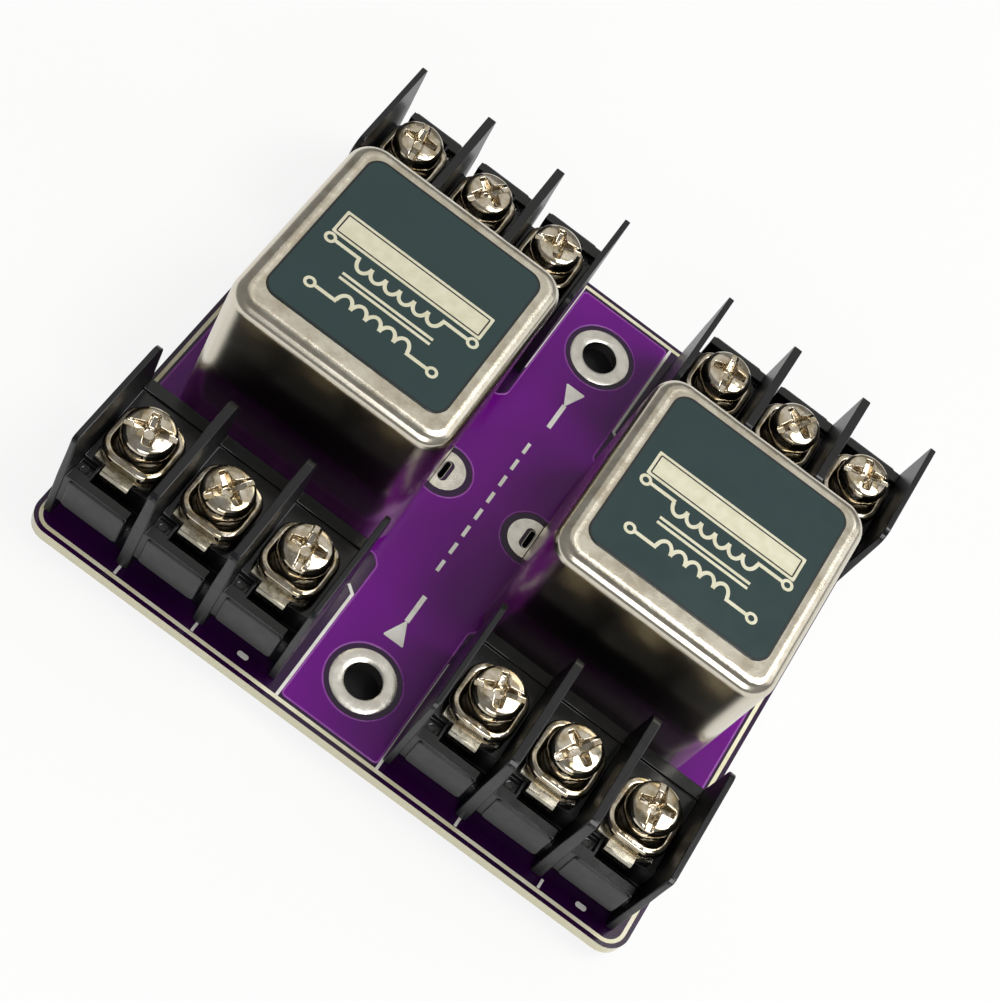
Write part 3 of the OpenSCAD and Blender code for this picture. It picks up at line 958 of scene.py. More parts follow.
@dataclass
class CircuitBoard:
    """The laminate with its copper, print, plated holes and solder side.

    Film and print are bedded a little way into the laminate. A pair of Y values is a start and an end. The
    spot's size is its width, its depth and its corner radius, and the lug mouth's size is the same.
    """

    thickness: float = 1.6
    length: float = 74.0
    depth: float = 68.0
    film: float = 0.04
    bedding: float = 0.01
    print_height: float = 0.025
    border_inset: float = 0.7
    border_radius: float = 1.85
    border_width: float = 0.42
    block_line_x: float = 6.25
    block_line_inner_y: float = 18.6
    block_line_gap: float = 0.2
    block_line_hook: Point2 = (0.95, 0.75)
    line_width: float = 0.34
    tick_x: tuple[float, ...] = (-26.5, -16.9, 16.0, 26.4)
    tick_y: Point2 = (-33.0, -31.9)
    tick_width: float = 0.32
    spot_x: tuple[float, ...] = (-11.3, 31.1)
    spot_y: float = -31.8
    spot_size: Point3 = (1.3, 0.6, 0.29)
    arrow_half_width: float = 1.3
    arrow_y: Point2 = (20.2, 17.2)
    arrow_corner: float = 0.25
    arrow_tail_y: Point2 = (17.4, 13.6)
    arrow_tail_width: float = 0.55
    dashes: int = 8
    dash_x: float = -0.6
    dash_first_y: float = -10.2
    dash_pitch: float = 2.7
    dash_length: float = 1.6
    dash_width: float = 0.42
    pour_strip_x: float = 5.95
    pour_wing_y: float = 13.0
    pour_end_x: float = 35.65
    pour_end_y: float = 32.6
    pour_cut: float = 1.0
    pour_corner: float = 0.5
    pour_edge_width: float = 0.26
    pour_edge_crown: float = 0.03
    pour_edge_share: float = 0.7
    mount_y: float = 26.0
    mount_hole: float = 4.2
    mount_ring: float = 7.3
    mount_clearance: float = 8.7
    mount_film: float = 0.06
    lug_pad: float = 5.0
    lug_clearance: float = 6.8
    lug_slot_length: float = 2.5
    lug_slot_width: float = 0.65
    lug_can_side: float = 0.55
    lug_corner: float = 0.45
    lug_mouth: Point3 = (1.25, 2.8, 0.6)
    lug_mouth_shift: float = -0.18
    lug_plating: float = 0.04
    lug_rise_under: float = 0.05
    lug_rise_over: float = 0.06
    track_width: float = 1.1
    track_end: float = 1.2
    track_rise: float = 0.06
    pin_hole: float = 0.5
    pin_lead: float = 0.4
    leg_hole: float = 0.82
    leg_lead: float = 0.72
    joint_spread: float = 0.65
    joint_height: float = 1.25
    joint_hollow: float = 2.4

    def lug_places(self) -> list[tuple[Point2, int]]:
        """Finds the lug slots beside the cans.

        Returns:
            The middle of each slot, and the sign of X that points at its can.
        """
        low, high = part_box("lug_slot_plating")
        left = (low.x / MM + self.lug_can_side, middle("left_can").y)
        right = (high.x / MM - self.lug_can_side, middle("right_can").y)
        return [(left, -1), (right, 1)]

    def build(self) -> None:
        """Builds every piece of the board."""
        dress_node("circuit_board", MASK_ON_LAMINATE)
        self.build_pour()
        self.build_print()
        self.build_mount_eyelets()
        self.build_lug_pads()
        self.build_solder_side()

    def build_pour(self) -> None:
        """Lays the copper area of the component side, with its pale edge, under the mask."""
        x, y, wing = self.pour_end_x, self.pour_end_y, self.pour_wing_y
        strip, cut = self.pour_strip_x, self.pour_cut
        quarter = [(strip, -y), (strip, -wing - cut), (strip + cut, -wing), (x, -wing)]
        right = quarter + [(px, -py) for px, py in reversed(quarter)]
        outline = softened(right + [(-px, -py) for px, py in right], self.pour_corner)
        rings = [circle(self.mount_clearance / 2, (0.0, side * self.mount_y)) for side in (-1, 1)]
        rings += [circle(self.lug_clearance / 2, place) for place, _ in self.lug_places()]
        low, top = self.thickness - self.bedding, self.thickness
        copper = Skin()
        copper.plate(outline, rings, low, top + self.film)
        copper.piece("board_copper_pour", MASK_ON_COPPER, "solder_mask")
        edges = Skin()
        high = top + self.film * self.pour_edge_share
        for ring in [outline, *rings]:
            edges.ribbon(ring, self.pour_edge_width, low, high, closed=True, crown=self.pour_edge_crown)
        edges.piece("board_copper_edges", MASK_ON_EDGE, "solder_mask", crease=80.0)

    def build_print(self) -> None:
        """Prints the border, the outlines of the blocks and plain marks."""
        low = self.thickness - self.bedding
        on_film = self.thickness + self.film + self.print_height
        on_laminate = self.thickness + self.print_height
        inset = 2 * self.border_inset
        outline = rounded_rectangle(self.length - inset, self.depth - inset, self.border_radius)
        border = Skin()
        border.ribbon(outline, self.border_width, low, on_laminate, closed=True)
        border.piece("board_border_print", SILK_CREAM, "solder_mask")
        marks = Skin()
        line, near = self.block_line_x, self.block_line_inner_y
        far = self.depth / 2 - self.border_inset - self.block_line_gap
        hook_x, hook_y = self.block_line_hook
        for sx in (-1, 1):
            for sy in (-1, 1):
                path = [(line, far), (line, near), (line + hook_x, near - hook_y)]
                marks.ribbon([(sx * x, sy * y) for x, y in path], self.line_width, low, on_film)
        for x in self.tick_x:
            marks.ribbon([(x, y) for y in self.tick_y], self.tick_width, low, on_laminate)
        for x in self.spot_x:
            marks.plate(moved(rounded_rectangle(*self.spot_size), x, self.spot_y), (), low, on_laminate)
        half, (base, tip) = self.arrow_half_width, self.arrow_y
        for sy in (-1, 1):
            head = [(-half, sy * base), (half, sy * base), (0.0, sy * tip)]
            marks.plate(softened(head[::-sy], self.arrow_corner), (), low, on_film)
            marks.ribbon([(0.0, sy * y) for y in self.arrow_tail_y], self.arrow_tail_width, low, on_film)
        for dash in range(self.dashes):
            start = self.dash_first_y + dash * self.dash_pitch
            path = [(self.dash_x, start), (self.dash_x, start + self.dash_length)]
            marks.ribbon(path, self.dash_width, low, on_film)
        marks.piece("board_white_print", SILK, "solder_mask")

    def build_mount_eyelets(self) -> None:
        """Turns the plated mounting holes, with a soft edge to each ring."""
        bore, ring, top, film = self.mount_hole / 2, self.mount_ring / 2, self.thickness, self.mount_film
        under = [
            (bore + 0.05, 0.3), (ring, 0.0), (ring, -0.03), (ring - 0.12, -film), (bore + 0.15, -film),
            (bore, 0.0), (bore, 0.4),
        ]
        over = [
            (bore, top - 0.4), (bore, top), (bore + 0.15, top + film), (bore + 0.6, top + film + 0.02),
            (ring - 0.5, top + film + 0.02), (ring - 0.12, top + film), (ring, top + 0.03), (ring, top),
            (bore + 0.05, top - 0.3),
        ]
        eyelets = Skin()
        for side in (-1, 1):
            eyelets.place = Matrix.Translation((0.0, side * self.mount_y, 0.0))
            eyelets.lathe(under + over, 72, joined=True)
        eyelets.piece("mounting_eyelets_tinned", TIN, "tin_plating", ("mounting_eyelets",), crease=50.0)

    def build_lug_pads(self) -> None:
        """Makes the D-shaped pads beside the cans, each with its plated slot."""
        radius, top, plating = self.lug_pad / 2, self.thickness, self.lug_plating
        start = math.acos(self.lug_can_side / radius)
        arc = [start + (2 * math.pi - 2 * start) * i / 40 for i in range(41)]
        outline = softened([(radius * math.cos(a), radius * math.sin(a)) for a in arc], self.lug_corner, 3)
        mouth = moved(rounded_rectangle(*self.lug_mouth), self.lug_mouth_shift, 0.0)
        barrel = []
        for grow, z in ((0.0, 0.0), (0.0, top), (plating, top), (plating, 0.0), (0.0, 0.0)):
            width, length = self.lug_slot_width + 2 * grow, self.lug_slot_length + 2 * grow
            barrel.append(raised(rounded_rectangle(width, length, width / 2 - HAIR), z))
        pads = Skin()
        for (x, y), towards in self.lug_places():
            turn = Matrix.Rotation(0 if towards > 0 else math.pi, 4, "Z")
            pads.place = Matrix.Translation((x, y, 0.0)) @ turn
            pads.plate(outline, [mouth], -self.lug_rise_under, 0.0)
            pads.plate(outline, [mouth], top, top + self.lug_rise_over)
            pads.loft(barrel, capped=False)
        pads.piece("lug_pads_tinned", TIN, "tin_plating", ("lug_slot_plating",))

    def build_solder_side(self) -> None:
        """Adds tracks, pads and soldered joints below the board."""
        joints, tracks, pads = Skin(), Skin(), Skin()
        for side in Side:
            can = Transformer(side)
            pins = can.pin_places()
            for place in pins:
                self.add_joint(joints, pads, place, self.pin_hole, self.pin_lead)
            for row in Row:
                legs = sorted(TerminalBlock(row, side).leg_places())
                ends = sorted(p for p in pins if (p[1] > can.centre().y) == (row is Row.BACK))
                for leg, pin in zip(legs, ends):
                    line = self.track(leg, pin)
                    tracks.ribbon(line, self.track_width, -self.track_rise, self.bedding)
        for row in Row:
            for side in Side:
                for place in TerminalBlock(row, side).leg_places():
                    self.add_joint(joints, pads, place, self.leg_hole, self.leg_lead)
        tracks.piece("solder_side_tracks", MASK_ON_COPPER, "solder_mask")
        pads.piece("solder_side_pads", TIN, "tin_plating")
        joined = ("terminal_solder", "transformer_solder")
        joints.piece("solder_joints", SOLDER, "solder", joined, crease=60.0)

    def track(self, leg: Point2, pin: Point2) -> list[Point2]:
        """Leads a track from a terminal's leg to a pin: straight, aslant and straight again.

        Args:
            leg: The leg's middle.
            pin: The pin's middle.

        Returns:
            The track's middle line.
        """
        bend, way = abs(leg[0] - pin[0]), pin[1] - leg[1]
        turn_y = leg[1] + math.copysign(max(0.0, abs(way) - bend - self.track_end), way)
        return [leg, (leg[0], turn_y), (pin[0], turn_y + math.copysign(bend, way)), pin]

    def add_joint(self, joints: Skin, pads: Skin, place: Point2, hole: float, lead: float) -> None:
        """Wets one lead: a pad ring and a hollow-sided cone of solder.

        Args:
            joints: Collects the solder.
            pads: Collects the pad rings.
            place: The lead's middle.
            hole: Radius of its hole.
            lead: Radius that the solder closes in to.
        """
        foot, height = hole + self.joint_spread, self.joint_height
        joints.place = pads.place = Matrix.Translation((place[0], place[1], 0.0))
        falls = [step / 10 for step in range(11)]
        cone = [(lead + (foot - lead) * (1 - t) ** self.joint_hollow, -height * t) for t in falls]
        cone += [(lead * 0.9, -height - 0.05), (lead * 0.5, -height + 0.02)]
        joints.lathe(cone, 28)
        rim = foot + 0.22
        ring = [(hole, 0.01), (rim, 0.01), (rim, -0.03), (foot + 0.16, -0.055), (hole, -0.055)]
        pads.lathe(ring, 32, joined=True)


@dataclass
class Transformer:
    """One canned transformer: shield can, label, header, pins and the coil inside.

    Each coil of the label's symbol has its turns, the length of its leads, the Y of its line and the sign of
    the side that it bulges to.
    """

    side: Side
    board_top: float = 1.6
    width: float = 26.6
    depth: float = 27.2
    height: float = 22.2
    wall: float = 0.6
    corner: float = 3.2
    least_corner: float = 0.4
    edge: float = 1.7
    top_margin: float = 0.5
    rim_edge: float = 0.1
    inner_edge: float = 0.5
    pin_radius: float = 0.4
    label_width: float = 22.0
    label_depth: float = 21.8
    label_back: float = 0.5
    label_corner: float = 1.8
    label_edge: float = 0.06
    film: float = 0.12
    bar_width: float = 18.5
    bar_depth: float = 3.25
    bar_back: float = 1.3
    bar_corner: float = 0.15
    bar_frame_inset: float = 0.4
    bar_frame_line: float = 0.16
    bar_frame_corner: float = 0.12
    bar_frame_rise: float = 0.01
    # Width and inset of the dark line round the label's edge: painted shadow of the gap between the film and
    # the can.
    edge_shadow_line: float = 0.2
    edge_shadow_inset: float = 0.15
    ink: float = 0.02
    ink_bedding: float = 0.01
    stroke: float = 0.42
    thin_stroke: float = 0.34
    coils: tuple[tuple[int, float, float, int], ...] = ((6, 3.1, -1.1, -1), (5, 2.6, -7.0, 1))
    coil_pitch: float = 1.75
    coil_bulge: float = 1.35
    coil_open: float = 0.03
    coil_overlap: float = 0.15
    lead_ring: float = 0.52
    lead_ring_reach: float = 0.5
    core_y: tuple[float, ...] = (-3.75, -4.4)
    core_half_length: float = 5.6

    def node(self, part: str) -> str:
        """Returns the name of one of this transformer's pieces."""
        return f"{self.side.value}_{part}"

    def centre(self) -> Vector:
        """Returns the middle of the can."""
        return middle(self.node("can"))

    def pin_places(self) -> list[Point2]:
        """Finds the pins.

        Returns:
            The middle of each pin, in two rows of three.
        """
        low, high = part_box(self.node("pins"))
        pin = self.pin_radius
        pins_x = (low.x / MM + pin, self.centre().x, high.x / MM - pin)
        pins_y = (low.y / MM + pin, high.y / MM - pin)
        return [(x, y) for x in pins_x for y in pins_y]

    def build(self) -> None:
        """Builds the can and the label, and dresses what lies inside."""
        self.build_can()
        self.build_label()
        for part, finish in (
            ("header", PHENOLIC),
            ("pins", TIN),
            ("core", CORE_STEEL),
            ("bobbin", NYLON),
            ("primary_winding", WOUND_WIRE),
            ("foil_screen", COPPER_FOIL),
            ("secondary_winding", WOUND_WIRE),
        ):
            dress_node(self.node(part), finish)

    def level(self, inset: float, height: float) -> list[Point3]:
        """Returns the can's outline at an inset and a height."""
        radius = max(self.corner - inset, self.least_corner)
        return raised(rounded_rectangle(self.width - 2 * inset, self.depth - 2 * inset, radius, 14), height)

    def build_can(self) -> None:
        """Skins the drawn can, from its inner top round the open rim to its outer top."""
        wall, top, edge, soft, rim = self.wall, self.height, self.edge, self.inner_edge, self.rim_edge
        levels = [(wall + soft, top - wall), (wall, top - wall - soft)]
        levels += [(wall, rim), (wall - rim, 0.0), (rim, 0.0), (0.0, rim), (0.0, top * 0.5)]
        for angle in quarter_turn(18):
            levels.append((edge * (1 - math.cos(angle)), top - edge + edge * math.sin(angle)))
        levels.append((edge + self.top_margin, top))
        shell = Skin()
        centre = self.centre()
        shell.place = Matrix.Translation((centre.x, centre.y, self.board_top))
        shell.loft([self.level(*spot) for spot in levels])
        shell.piece(self.node("can_drawn"), DRAWN_NICKEL, "nickel_can", (self.node("can"),), crease=50.0)

    def label_line(self, inset: float) -> list[Point2]:
        """Returns the label's outline at an inset."""
        width, depth = self.label_width - 2 * inset, self.label_depth - 2 * inset
        return rounded_rectangle(width, depth, self.label_corner - inset, 10)

    def build_label(self) -> None:
        """Lays the film with its pale bar, a plain winding symbol and a painted shadow line round its edge.
        """
        centre = self.centre()
        film, cream, dark = Skin(), Skin(), Skin()
        spot = (centre.x, centre.y + self.label_back, self.board_top + self.height)
        film.place = cream.place = dark.place = Matrix.Translation(spot)
        rim, top = self.label_edge, self.film
        levels = ((0.0, 0.0), (0.0, top - rim), (rim, top))
        film.loft([raised(self.label_line(inset), z) for inset, z in levels])
        film.piece(self.node("label_film"), LABEL_FILM, "label_film", (self.node("label"),))
        low, high = top - self.ink_bedding, top + self.ink
        bar = rounded_rectangle(self.bar_width, self.bar_depth, self.bar_corner, 3)
        cream.plate(moved(bar, 0.0, self.bar_back), (), low, high)
        inset = 2 * self.bar_frame_inset
        width, depth = self.bar_width - inset, self.bar_depth - inset
        line = moved(rounded_rectangle(width, depth, self.bar_frame_corner, 3), 0.0, self.bar_back)
        dark.ribbon(line, self.bar_frame_line, low, high + self.bar_frame_rise, closed=True)
        # Painted shadow: a dark line just inside the label's edge stands for the shade in the gap between the
        # film and the can's top.
        dark.ribbon(self.label_line(self.edge_shadow_inset), self.edge_shadow_line, low, high, closed=True)
        self.draw_windings(cream, low, high)
        cream.piece(self.node("label_cream_print"), CREAM_INK, "label_film")
        dark.piece(self.node("label_dark_print_and_edge_shadow"), DARK_INK_AND_EDGE_SHADOW, "label_film")

    def draw_windings(self, ink: Skin, low: float, high: float) -> None:
        """Draws two coils with a core between them, the plain sign for a transformer.

        Strokes that cross differ a little in height, so that no two tops lie in one plane.

        Args:
            ink: Collects the strokes.
            low: Height of a stroke's underside.
            high: Height of its top.
        """
        pitch = self.coil_pitch
        swing = 1 - 2 * self.coil_open
        angles = [math.pi * (self.coil_open + swing * step / 12) for step in range(13)]
        for turns, lead, line_y, side in self.coils:
            half = turns * pitch / 2
            for turn in range(turns):
                arc = []
                for angle in angles:
                    along = -half + pitch * (turn + 0.5 - 0.5 * math.cos(angle))
                    arc.append((along, line_y + side * self.coil_bulge * math.sin(angle)))
                ink.ribbon(arc, self.stroke, low, high + 0.003 * (turn % 2))
            for end in (-1, 1):
                ends = [(end * (half - self.coil_overlap), line_y), (end * (half + lead), line_y)]
                ink.ribbon(ends, self.stroke, low, high - 0.002)
            for end in (-1, 1):
                ring = circle(self.lead_ring, (end * (half + lead + self.lead_ring_reach), line_y), 24)
                ink.ribbon(ring, self.thin_stroke, low, high, closed=True)
        for y in self.core_y:
            path = [(-self.core_half_length, y), (self.core_half_length, y)]
            ink.ribbon(path, self.thin_stroke, low, high)


@dataclass
class TerminalBlock:
    """One barrier block: the moulding and, for each pole, a contact, clamp plate, lock washer and screw."""

    row: Row
    side: Side
    board_top: float = 1.6
    pitch: float = 9.5
    poles: int = 3
    wire_reach: float = 7.05
    fin: float = 1.4
    end_fin: float = 0.9
    fin_height: float = 15.6
    fin_draft: float = 0.28
    moulding_edge: float = 0.17
    back_reach: float = 7.5
    back_wall: float = 1.5
    back_rise: float = 2.4
    back_rise_drawn: float = 0.3
    face_foot: float = 3.3
    face_slot: float = 0.75
    face_gap: float = 0.55
    face_slot_margin: float = 0.03
    face_foot_margin: float = 0.1
    face_seat_margin: float = 0.08
    face_corner: float = 0.55
    face_rise: float = 0.26
    face_edge_share: float = 0.8
    fin_rise: float = 0.14
    fin_margin: float = 0.06
    fin_front_foot: float = 0.1
    fin_front_gap: float = 0.5
    fin_front_corner: float = 0.4
    seat: float = 8.4
    lip_rise: float = 0.1
    pocket_x: float = -3.15
    pocket_y: float = -4.85
    pocket_depth: float = 0.9
    contact: float = 0.8
    contact_back: float = 4.4
    contact_front: float = 3.8
    contact_edge: float = 0.1
    shoulder_back: float = 0.55
    shoulder_margin: float = 0.2
    front_margin: float = 0.1
    tongue: float = 3.4
    clamp_width: float = 7.3
    clamp_corner: float = 2.4
    clamp_floor: float = 0.9
    clamp_rim: float = 0.5
    lock: float = 1.1
    lock_inset: float = 0.25
    lock_lift: float = 0.1
    lock_edge: float = 0.09
    lock_play: float = 0.02
    lock_gap_degrees: float = 8.0
    shank: float = 1.5
    hole: float = 1.65
    head: float = 5.6
    head_height: float = 2.4
    head_flat: float = 2.25
    head_dome: float = 0.28
    head_shoulder: float = 0.62
    head_slope: float = 15.0
    head_droop: float = 0.12
    screw_length: float = 6.0
    thread_pitch: float = 0.5
    thread_depth: float = 0.28
    tip: float = 0.3
    first_turn: float = 18.0
    turn_step: float = 41.0

    def node(self, part: str) -> str:
        """Returns the name of one of this block's pieces."""
        return f"{self.row.value}_{self.side.value}_{part}"

    def place(self) -> Matrix:
        """Finds the block's own frame.

        Returns:
            The frame of its middle screw's axis on the board, with the wires towards -Y.
        """
        low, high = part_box(self.node("housing"))
        x = (low.x + high.x) / 2 / MM
        if self.row is Row.FRONT:
            return Matrix.Translation((x, low.y / MM + self.wire_reach, self.board_top))
        turned = Matrix.Rotation(math.pi, 4, "Z")
        return Matrix.Translation((x, high.y / MM - self.wire_reach, self.board_top)) @ turned

    def pole_places(self) -> list[Matrix]:
        """Finds the poles.

        Returns:
            The frame of each pole's screw axis.
        """
        first = -(self.poles - 1) / 2 * self.pitch
        steps = [first + i * self.pitch for i in range(self.poles)]
        return [self.place() @ Matrix.Translation((step, 0.0, 0.0)) for step in steps]

    def leg_places(self) -> list[Point2]:
        """Returns where the contacts' legs pass through the board."""
        leg = Vector((0.0, self.contact_back - self.contact / 2, 0.0))
        return [tuple((pole @ leg).xy) for pole in self.pole_places()]

    def build(self) -> None:
        """Builds the moulding and the metal of every pole."""
        node = self.node
        softened_copy(
            node("housing"), node("moulding"), BLACK_MOULDING, self.moulding_edge, 3,
            self.draft_fins(),
        )
        softened_copy(
            node("contacts"), node("stamped_contacts"), TINNED_BRASS, self.contact_edge, 2,
            self.clip_contacts(),
        )
        self.build_faces()
        marks, clamps, locks, screws = Skin(), Skin(), Skin(), Skin()
        for number, pole in enumerate(self.pole_places()):
            for skin in (marks, clamps, locks, screws):
                skin.place = pole
            self.add_ejector_mark(marks)
            self.add_clamp(clamps)
            self.add_lock_washer(locks)
            self.add_screw(screws, math.radians(self.first_turn + number * self.turn_step))
        metal = "nickel_hardware"
        marks.piece(node("ejector_marks"), BLACK_MOULDING, "black_moulding")
        clamps.piece(node("dished_clamps"), BRIGHT_NICKEL, metal, (node("clamps"),), crease=60.0)
        # The washers' dark grey is painted shade for the gap under each head.
        locks.piece(node("split_washers"), SHADE_DARK_SPRING_STEEL, metal, (node("lock_washers"),), crease=40.0)
        screws.piece(node("headed_screws"), BRIGHT_NICKEL, metal, (node("screws"),), crease=60.0)

    def fin_lines(self) -> list[Point2]:
        """Finds the fins.

        Returns:
            The middle and the thickness of each fin.
        """
        half = (self.poles - 1) / 2 * self.pitch + (self.pitch - self.fin) / 2
        lines = [((gap - self.poles / 2) * self.pitch, self.fin) for gap in range(1, self.poles)]
        return lines + [(end * (half + self.end_fin / 2), self.end_fin) for end in (-1, 1)]

    def build_faces(self) -> None:
        """Raises the eroded wire face of each pole and the eroded front of each fin."""
        faces = Skin()
        upright = Matrix.Translation((0.0, -self.wire_reach, 0.0)) @ Matrix.Rotation(math.pi / 2, 4, "X")
        half = (self.pitch - self.fin) / 2
        left, right = self.face_gap - half, half - self.face_slot - self.face_slot_margin
        low, high = self.face_foot + self.face_foot_margin, self.seat - self.face_seat_margin

        def face(inset: float) -> list[Point2]:
            """Draws a wire face.

            Args:
                inset: How far inside its edge.

            Returns:
                The face's outline.
            """
            width, height = right - left - 2 * inset, high - low - 2 * inset
            ring = rounded_rectangle(width, height, self.face_corner - inset)
            return moved(ring, (left + right) / 2, (low + high) / 2)

        for pole in self.pole_places():
            faces.place = pole @ upright
            faces.pad(face, self.face_rise, self.face_rise * self.face_edge_share)
        base, top = self.fin_front_foot, self.fin_height - self.fin_front_gap
        for line, thickness in self.fin_lines():
            faces.place = self.place() @ Matrix.Translation((line, 0.0, 0.0)) @ upright
            foot = thickness / 2 - self.fin_margin
            crest = thickness / 2 * (1 - self.fin_draft) - self.fin_margin

            def strip(inset: float, foot: float = foot, crest: float = crest) -> list[Point2]:
                """Draws a fin's front at an inset."""
                side = [(foot - inset, base + inset), (foot - inset, self.seat), (crest - inset, top - inset)]
                return softened(side + [(-x, z) for x, z in reversed(side)], self.fin_front_corner)

            faces.pad(strip, self.fin_rise, self.fin_rise)
        faces.piece(self.node("eroded_faces"), ERODED_MOULDING, "black_moulding", crease=50.0)

    def clip_contacts(self) -> Reshape:
        """Draws the contacts' right shoulder back under the clamp plate.

        Returns:
            The move of one point.
        """
        home = self.place()
        back = home.inverted()

        def clip(point: Vector) -> Vector:
            """Moves a point of the shoulder's front edge back.

            Args:
                point: The point on the board.

            Returns:
                Its new place.
            """
            spot = back @ point
            across = spot.x - self.pitch * round(spot.x / self.pitch)
            on_shoulder = across > self.tongue / 2 + self.shoulder_margin
            if on_shoulder and spot.y < self.front_margin - self.contact_front:
                spot.y += self.shoulder_back
            return home @ spot

        return clip

    def draft_fins(self) -> Reshape:
        """Thins the fins towards their tops, as the mould's draft does.

        The move also lets the lip, which stands a hair above the seat, into it: the edges there can then be
        rounded. The back wall comes down to a low ridge, as the photograph shows it.

        Returns:
            The move of one point.
        """
        home = self.place()
        back = home.inverted()
        lines = [line for line, _ in self.fin_lines()]
        near = 0.01

        def thin(point: Vector) -> Vector:
            """Moves a point towards the middle of the nearest fin, more the higher it is.

            Args:
                point: The point on the board.

            Returns:
                Its new place.
            """
            spot = back @ point
            on_wall = spot.y > self.back_reach - self.back_wall - near
            if on_wall and abs(spot.z - self.seat - self.back_rise) < near:
                spot.z = self.seat + self.back_rise_drawn
            share = max(0.0, (spot.z - self.seat - self.lip_rise) / (self.fin_height - self.seat))
            line = min(lines, key=lambda x: abs(x - spot.x))
            if share and abs(spot.x - line) < self.fin:
                spot.x = line + (spot.x - line) * (1 - self.fin_draft * share)
            if self.seat < spot.z < self.seat + self.lip_rise + near:
                spot.z = self.seat
            return home @ spot

        return thin

    def add_ejector_mark(self, marks: Skin) -> None:
        """Adds the round witness of an ejector pin in the pocket beside the contact.

        Args:
            marks: Collects the marks, at the pole's place.
        """
        floor = self.seat + self.lip_rise - self.pocket_depth
        marks.place = marks.place @ Matrix.Translation((self.pocket_x, self.pocket_y, floor))
        ring = [(0.34, -0.02), (0.34, 0.02), (0.4, 0.05), (0.5, 0.05), (0.56, 0.0), (0.56, -0.02)]
        marks.lathe(ring, 24, joined=True)

    def add_clamp(self, clamps: Skin) -> None:
        """Presses one square plate with a raised rim, which dips towards its screw hole.

        Args:
            clamps: Collects the plates, at the pole's place.
        """
        base = self.seat + self.contact
        floor, top, hole = self.clamp_floor, self.clamp_floor + self.clamp_rim, self.hole
        # Inset and height of each ring, from the lower edge over the rim to the floor
        spots = [(0.2, 0.0), (0.05, 0.12), (0.0, 0.35)]
        for angle in quarter_turn(7):
            spots.append((0.34 * (1 - math.cos(angle)), top - 0.06 - 0.5 * (1 - math.sin(angle))))
        spots += [(0.48, top - 0.02), (0.64, top), (0.78, top - 0.03), (0.88, top - 0.12), (0.94, top - 0.26)]
        spots += [(1.0, floor + 0.1), (1.12, floor + 0.02), (1.3, floor)]
        loops = []
        for inset, z in spots:
            width, radius = self.clamp_width - 2 * inset, max(self.clamp_corner - inset, 0.7)
            loops.append(raised(rounded_rectangle(width, width, radius, 9), base + z))
        for radius, z in ((hole + 0.1, floor), (hole, floor - 0.1), (hole, 0.1), (hole + 0.1, 0.0)):
            loops.append(raised(rounded_rectangle(2 * radius, 2 * radius, radius - HAIR, 9), base + z))
        clamps.loft([*loops, loops[0]], capped=False)

    def add_lock_washer(self, locks: Skin) -> None:
        """Winds one split spring washer, a little open at its gap.

        Args:
            locks: Collects the washers, at the pole's place.
        """
        base = self.seat + self.contact + self.clamp_floor
        inner, outer = self.hole + self.lock_play, self.head / 2 - self.lock_inset
        soft, gap = self.lock_edge, self.lock_gap_degrees
        thick = self.lock - self.lock_lift
        section = [
            (inner + soft, 0.0), (outer - soft, 0.0), (outer, soft), (outer, thick - soft),
            (outer - soft, thick), (inner + soft, thick), (inner, thick - soft), (inner, soft),
        ]
        loops = []
        for step in range(49):
            share = step / 48
            angle = math.radians(gap + (360 - 2 * gap) * share)
            lift = base + self.lock_lift * share
            loops.append([(r * math.cos(angle), r * math.sin(angle), lift + z) for r, z in section])
        locks.loft(loops)

    def recess(self, x: float, y: float) -> float:
        """Returns how deep the driver recess is at a spot on the head.

        Args:
            x: Distance along the slot from the screw's axis.
            y: Distance across it.

        Returns:
            The depth: a cross that narrows downwards, crossed by a straight slot.
        """

        def ramp(value: float, width: float) -> float:
            """Returns a smooth rise from 0 to 1 around zero."""
            t = min(1.0, max(0.0, value / (2 * width) + 0.5))
            return t * t * (3 - 2 * t)

        arm_half, arm_taper, arm_length, arm_fall = 0.5, 0.06, 1.9, 0.4
        cross_depth, core_radius, slot_half, slot_depth = 1.35, 0.78, 0.42, 0.55
        depth = 0.0
        for along, across in ((abs(x), abs(y)), (abs(y), abs(x))):
            arm = ramp(arm_half - arm_taper * along - across, 0.15) * ramp(arm_length - along, 0.14)
            depth = max(depth, arm * (cross_depth - arm_fall * along))
        depth = max(depth, ramp(core_radius - math.hypot(x, y), 0.2) * cross_depth)
        return max(depth, ramp(slot_half - abs(y), 0.12) * slot_depth)

